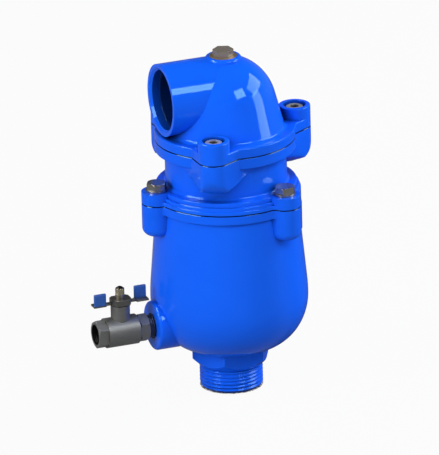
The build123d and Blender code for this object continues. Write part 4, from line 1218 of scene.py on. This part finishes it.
    def card_material(self, name: str, foot: float, top: float, side: float) -> bpy.types.Material:
        """Builds the glow of a card.

        Args:
            name: The card's name.
            foot: How strongly it glows on the floor.
            top: How strongly it glows high up.
            side: What its dark side adds to that, 0 or less.

        Returns:
            A material that only glows, in white, and how strongly depends on the place.
        """
        material, tree = new_tree(name)
        point = object_point(tree)
        height = add_node(tree, "ShaderNodeSeparateXYZ", {"Vector": point})
        level = add_node(
            tree,
            "ShaderNodeMapRange",
            {"Value": height.outputs["Z"], "From Max": self.tent_m * self.tent_fade, "To Min": foot, "To Max": top},
        )
        along = add_node(tree, "ShaderNodeVectorMath", {0: point, 1: self.dark_way}, operation="DOT_PRODUCT")
        length = add_node(tree, "ShaderNodeVectorMath", {0: point}, operation="LENGTH")
        cosine = add_node(
            tree,
            "ShaderNodeMath",
            {0: along.outputs["Value"], 1: length.outputs["Value"]},
            operation="DIVIDE",
        )
        darker = add_node(
            tree,
            "ShaderNodeMapRange",
            {
                "Value": cosine.outputs[0],
                "From Min": self.dark_range[0],
                "From Max": self.dark_range[1],
                "To Max": side,
            },
            interpolation_type="SMOOTHSTEP",
        )
        total = add_node(
            tree,
            "ShaderNodeMath",
            {0: level.outputs["Result"], 1: darker.outputs["Result"]},
            operation="ADD",
        )
        glow = add_node(tree, "ShaderNodeEmission", {"Strength": total.outputs[0]})
        add_node(tree, "ShaderNodeOutputMaterial", {"Surface": glow.outputs["Emission"]})
        return material

    def build_tent(self) -> list[bpy.types.Object]:
        """Hangs a dark tent over the valve and lays a grey cloth round it.

        Returns:
            The tent, half a ball, grey at its foot and black at its top, and the cloth, a ring on the floor. They
            show in gloss and metal only, as the dark room round the softboxes does, and neither lights nor shades.
        """
        rows, columns = self.tent_points
        round_it = np.linspace(0, 2 * np.pi, columns)
        rise, turn = np.meshgrid(np.linspace(0, np.pi / 2, rows), round_it, indexing="ij")
        ball = np.stack((np.cos(rise) * np.cos(turn), np.cos(rise) * np.sin(turn), np.sin(rise)), axis=-1)
        reach, turn = np.meshgrid(np.array(self.cloth_m), round_it, indexing="ij")
        over = np.full_like(reach, self.cloth_rise_mm * MM)
        ring = np.stack((reach * np.cos(turn), reach * np.sin(turn), over), axis=-1)
        cards = []
        for name, points, foot, top, side in (
            ("dark_tent", ball * self.tent_m, *self.tent_glow, 0.0),
            ("grey_cloth", ring, self.cloth_glow, self.cloth_glow, self.dark_glow),
        ):
            mesh = grid_mesh(name, points, closed=False)
            mesh.materials.append(self.card_material(name, foot, top, side))
            card = bpy.data.objects.new(name, mesh)
            bpy.context.collection.objects.link(card)
            card.visible_camera = card.visible_diffuse = card.visible_shadow = False
            card.visible_transmission = card.visible_volume_scatter = False
            card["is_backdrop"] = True
            cards.append(card)
        return cards


def main() -> None:
    """Dresses the valve piece by piece and sets up the studio."""
    logging.basicConfig(level=logging.INFO, format="%(name)s: %(message)s")
    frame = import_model()
    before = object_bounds()
    castings, drain = Castings(), DrainValve()
    castings.dress_nodes(frame)
    for piece in (*castings.build_body(frame), castings.build_cover(frame), *drain.build_threads()):
        log.info("%s: %d faces", piece.name, len(piece.data.polygons))
    for group in (Fasteners(), drain, Internals()):
        group.dress_nodes(frame)
        log.info("%s: %d nodes dressed", type(group).__name__, len(group.finishes))
    studio = Studio()
    centre = (before[0] + before[1]) / 2
    studio.build_camera(centre)
    studio.build_surround()
    for thing in (studio.build_floor(), *studio.build_tent(), *studio.build_lamps(centre)):
        log.info("%s placed", thing.name)
    bpy.context.scene.view_settings.view_transform = "Standard"


if __name__ == "__main__":
    main()
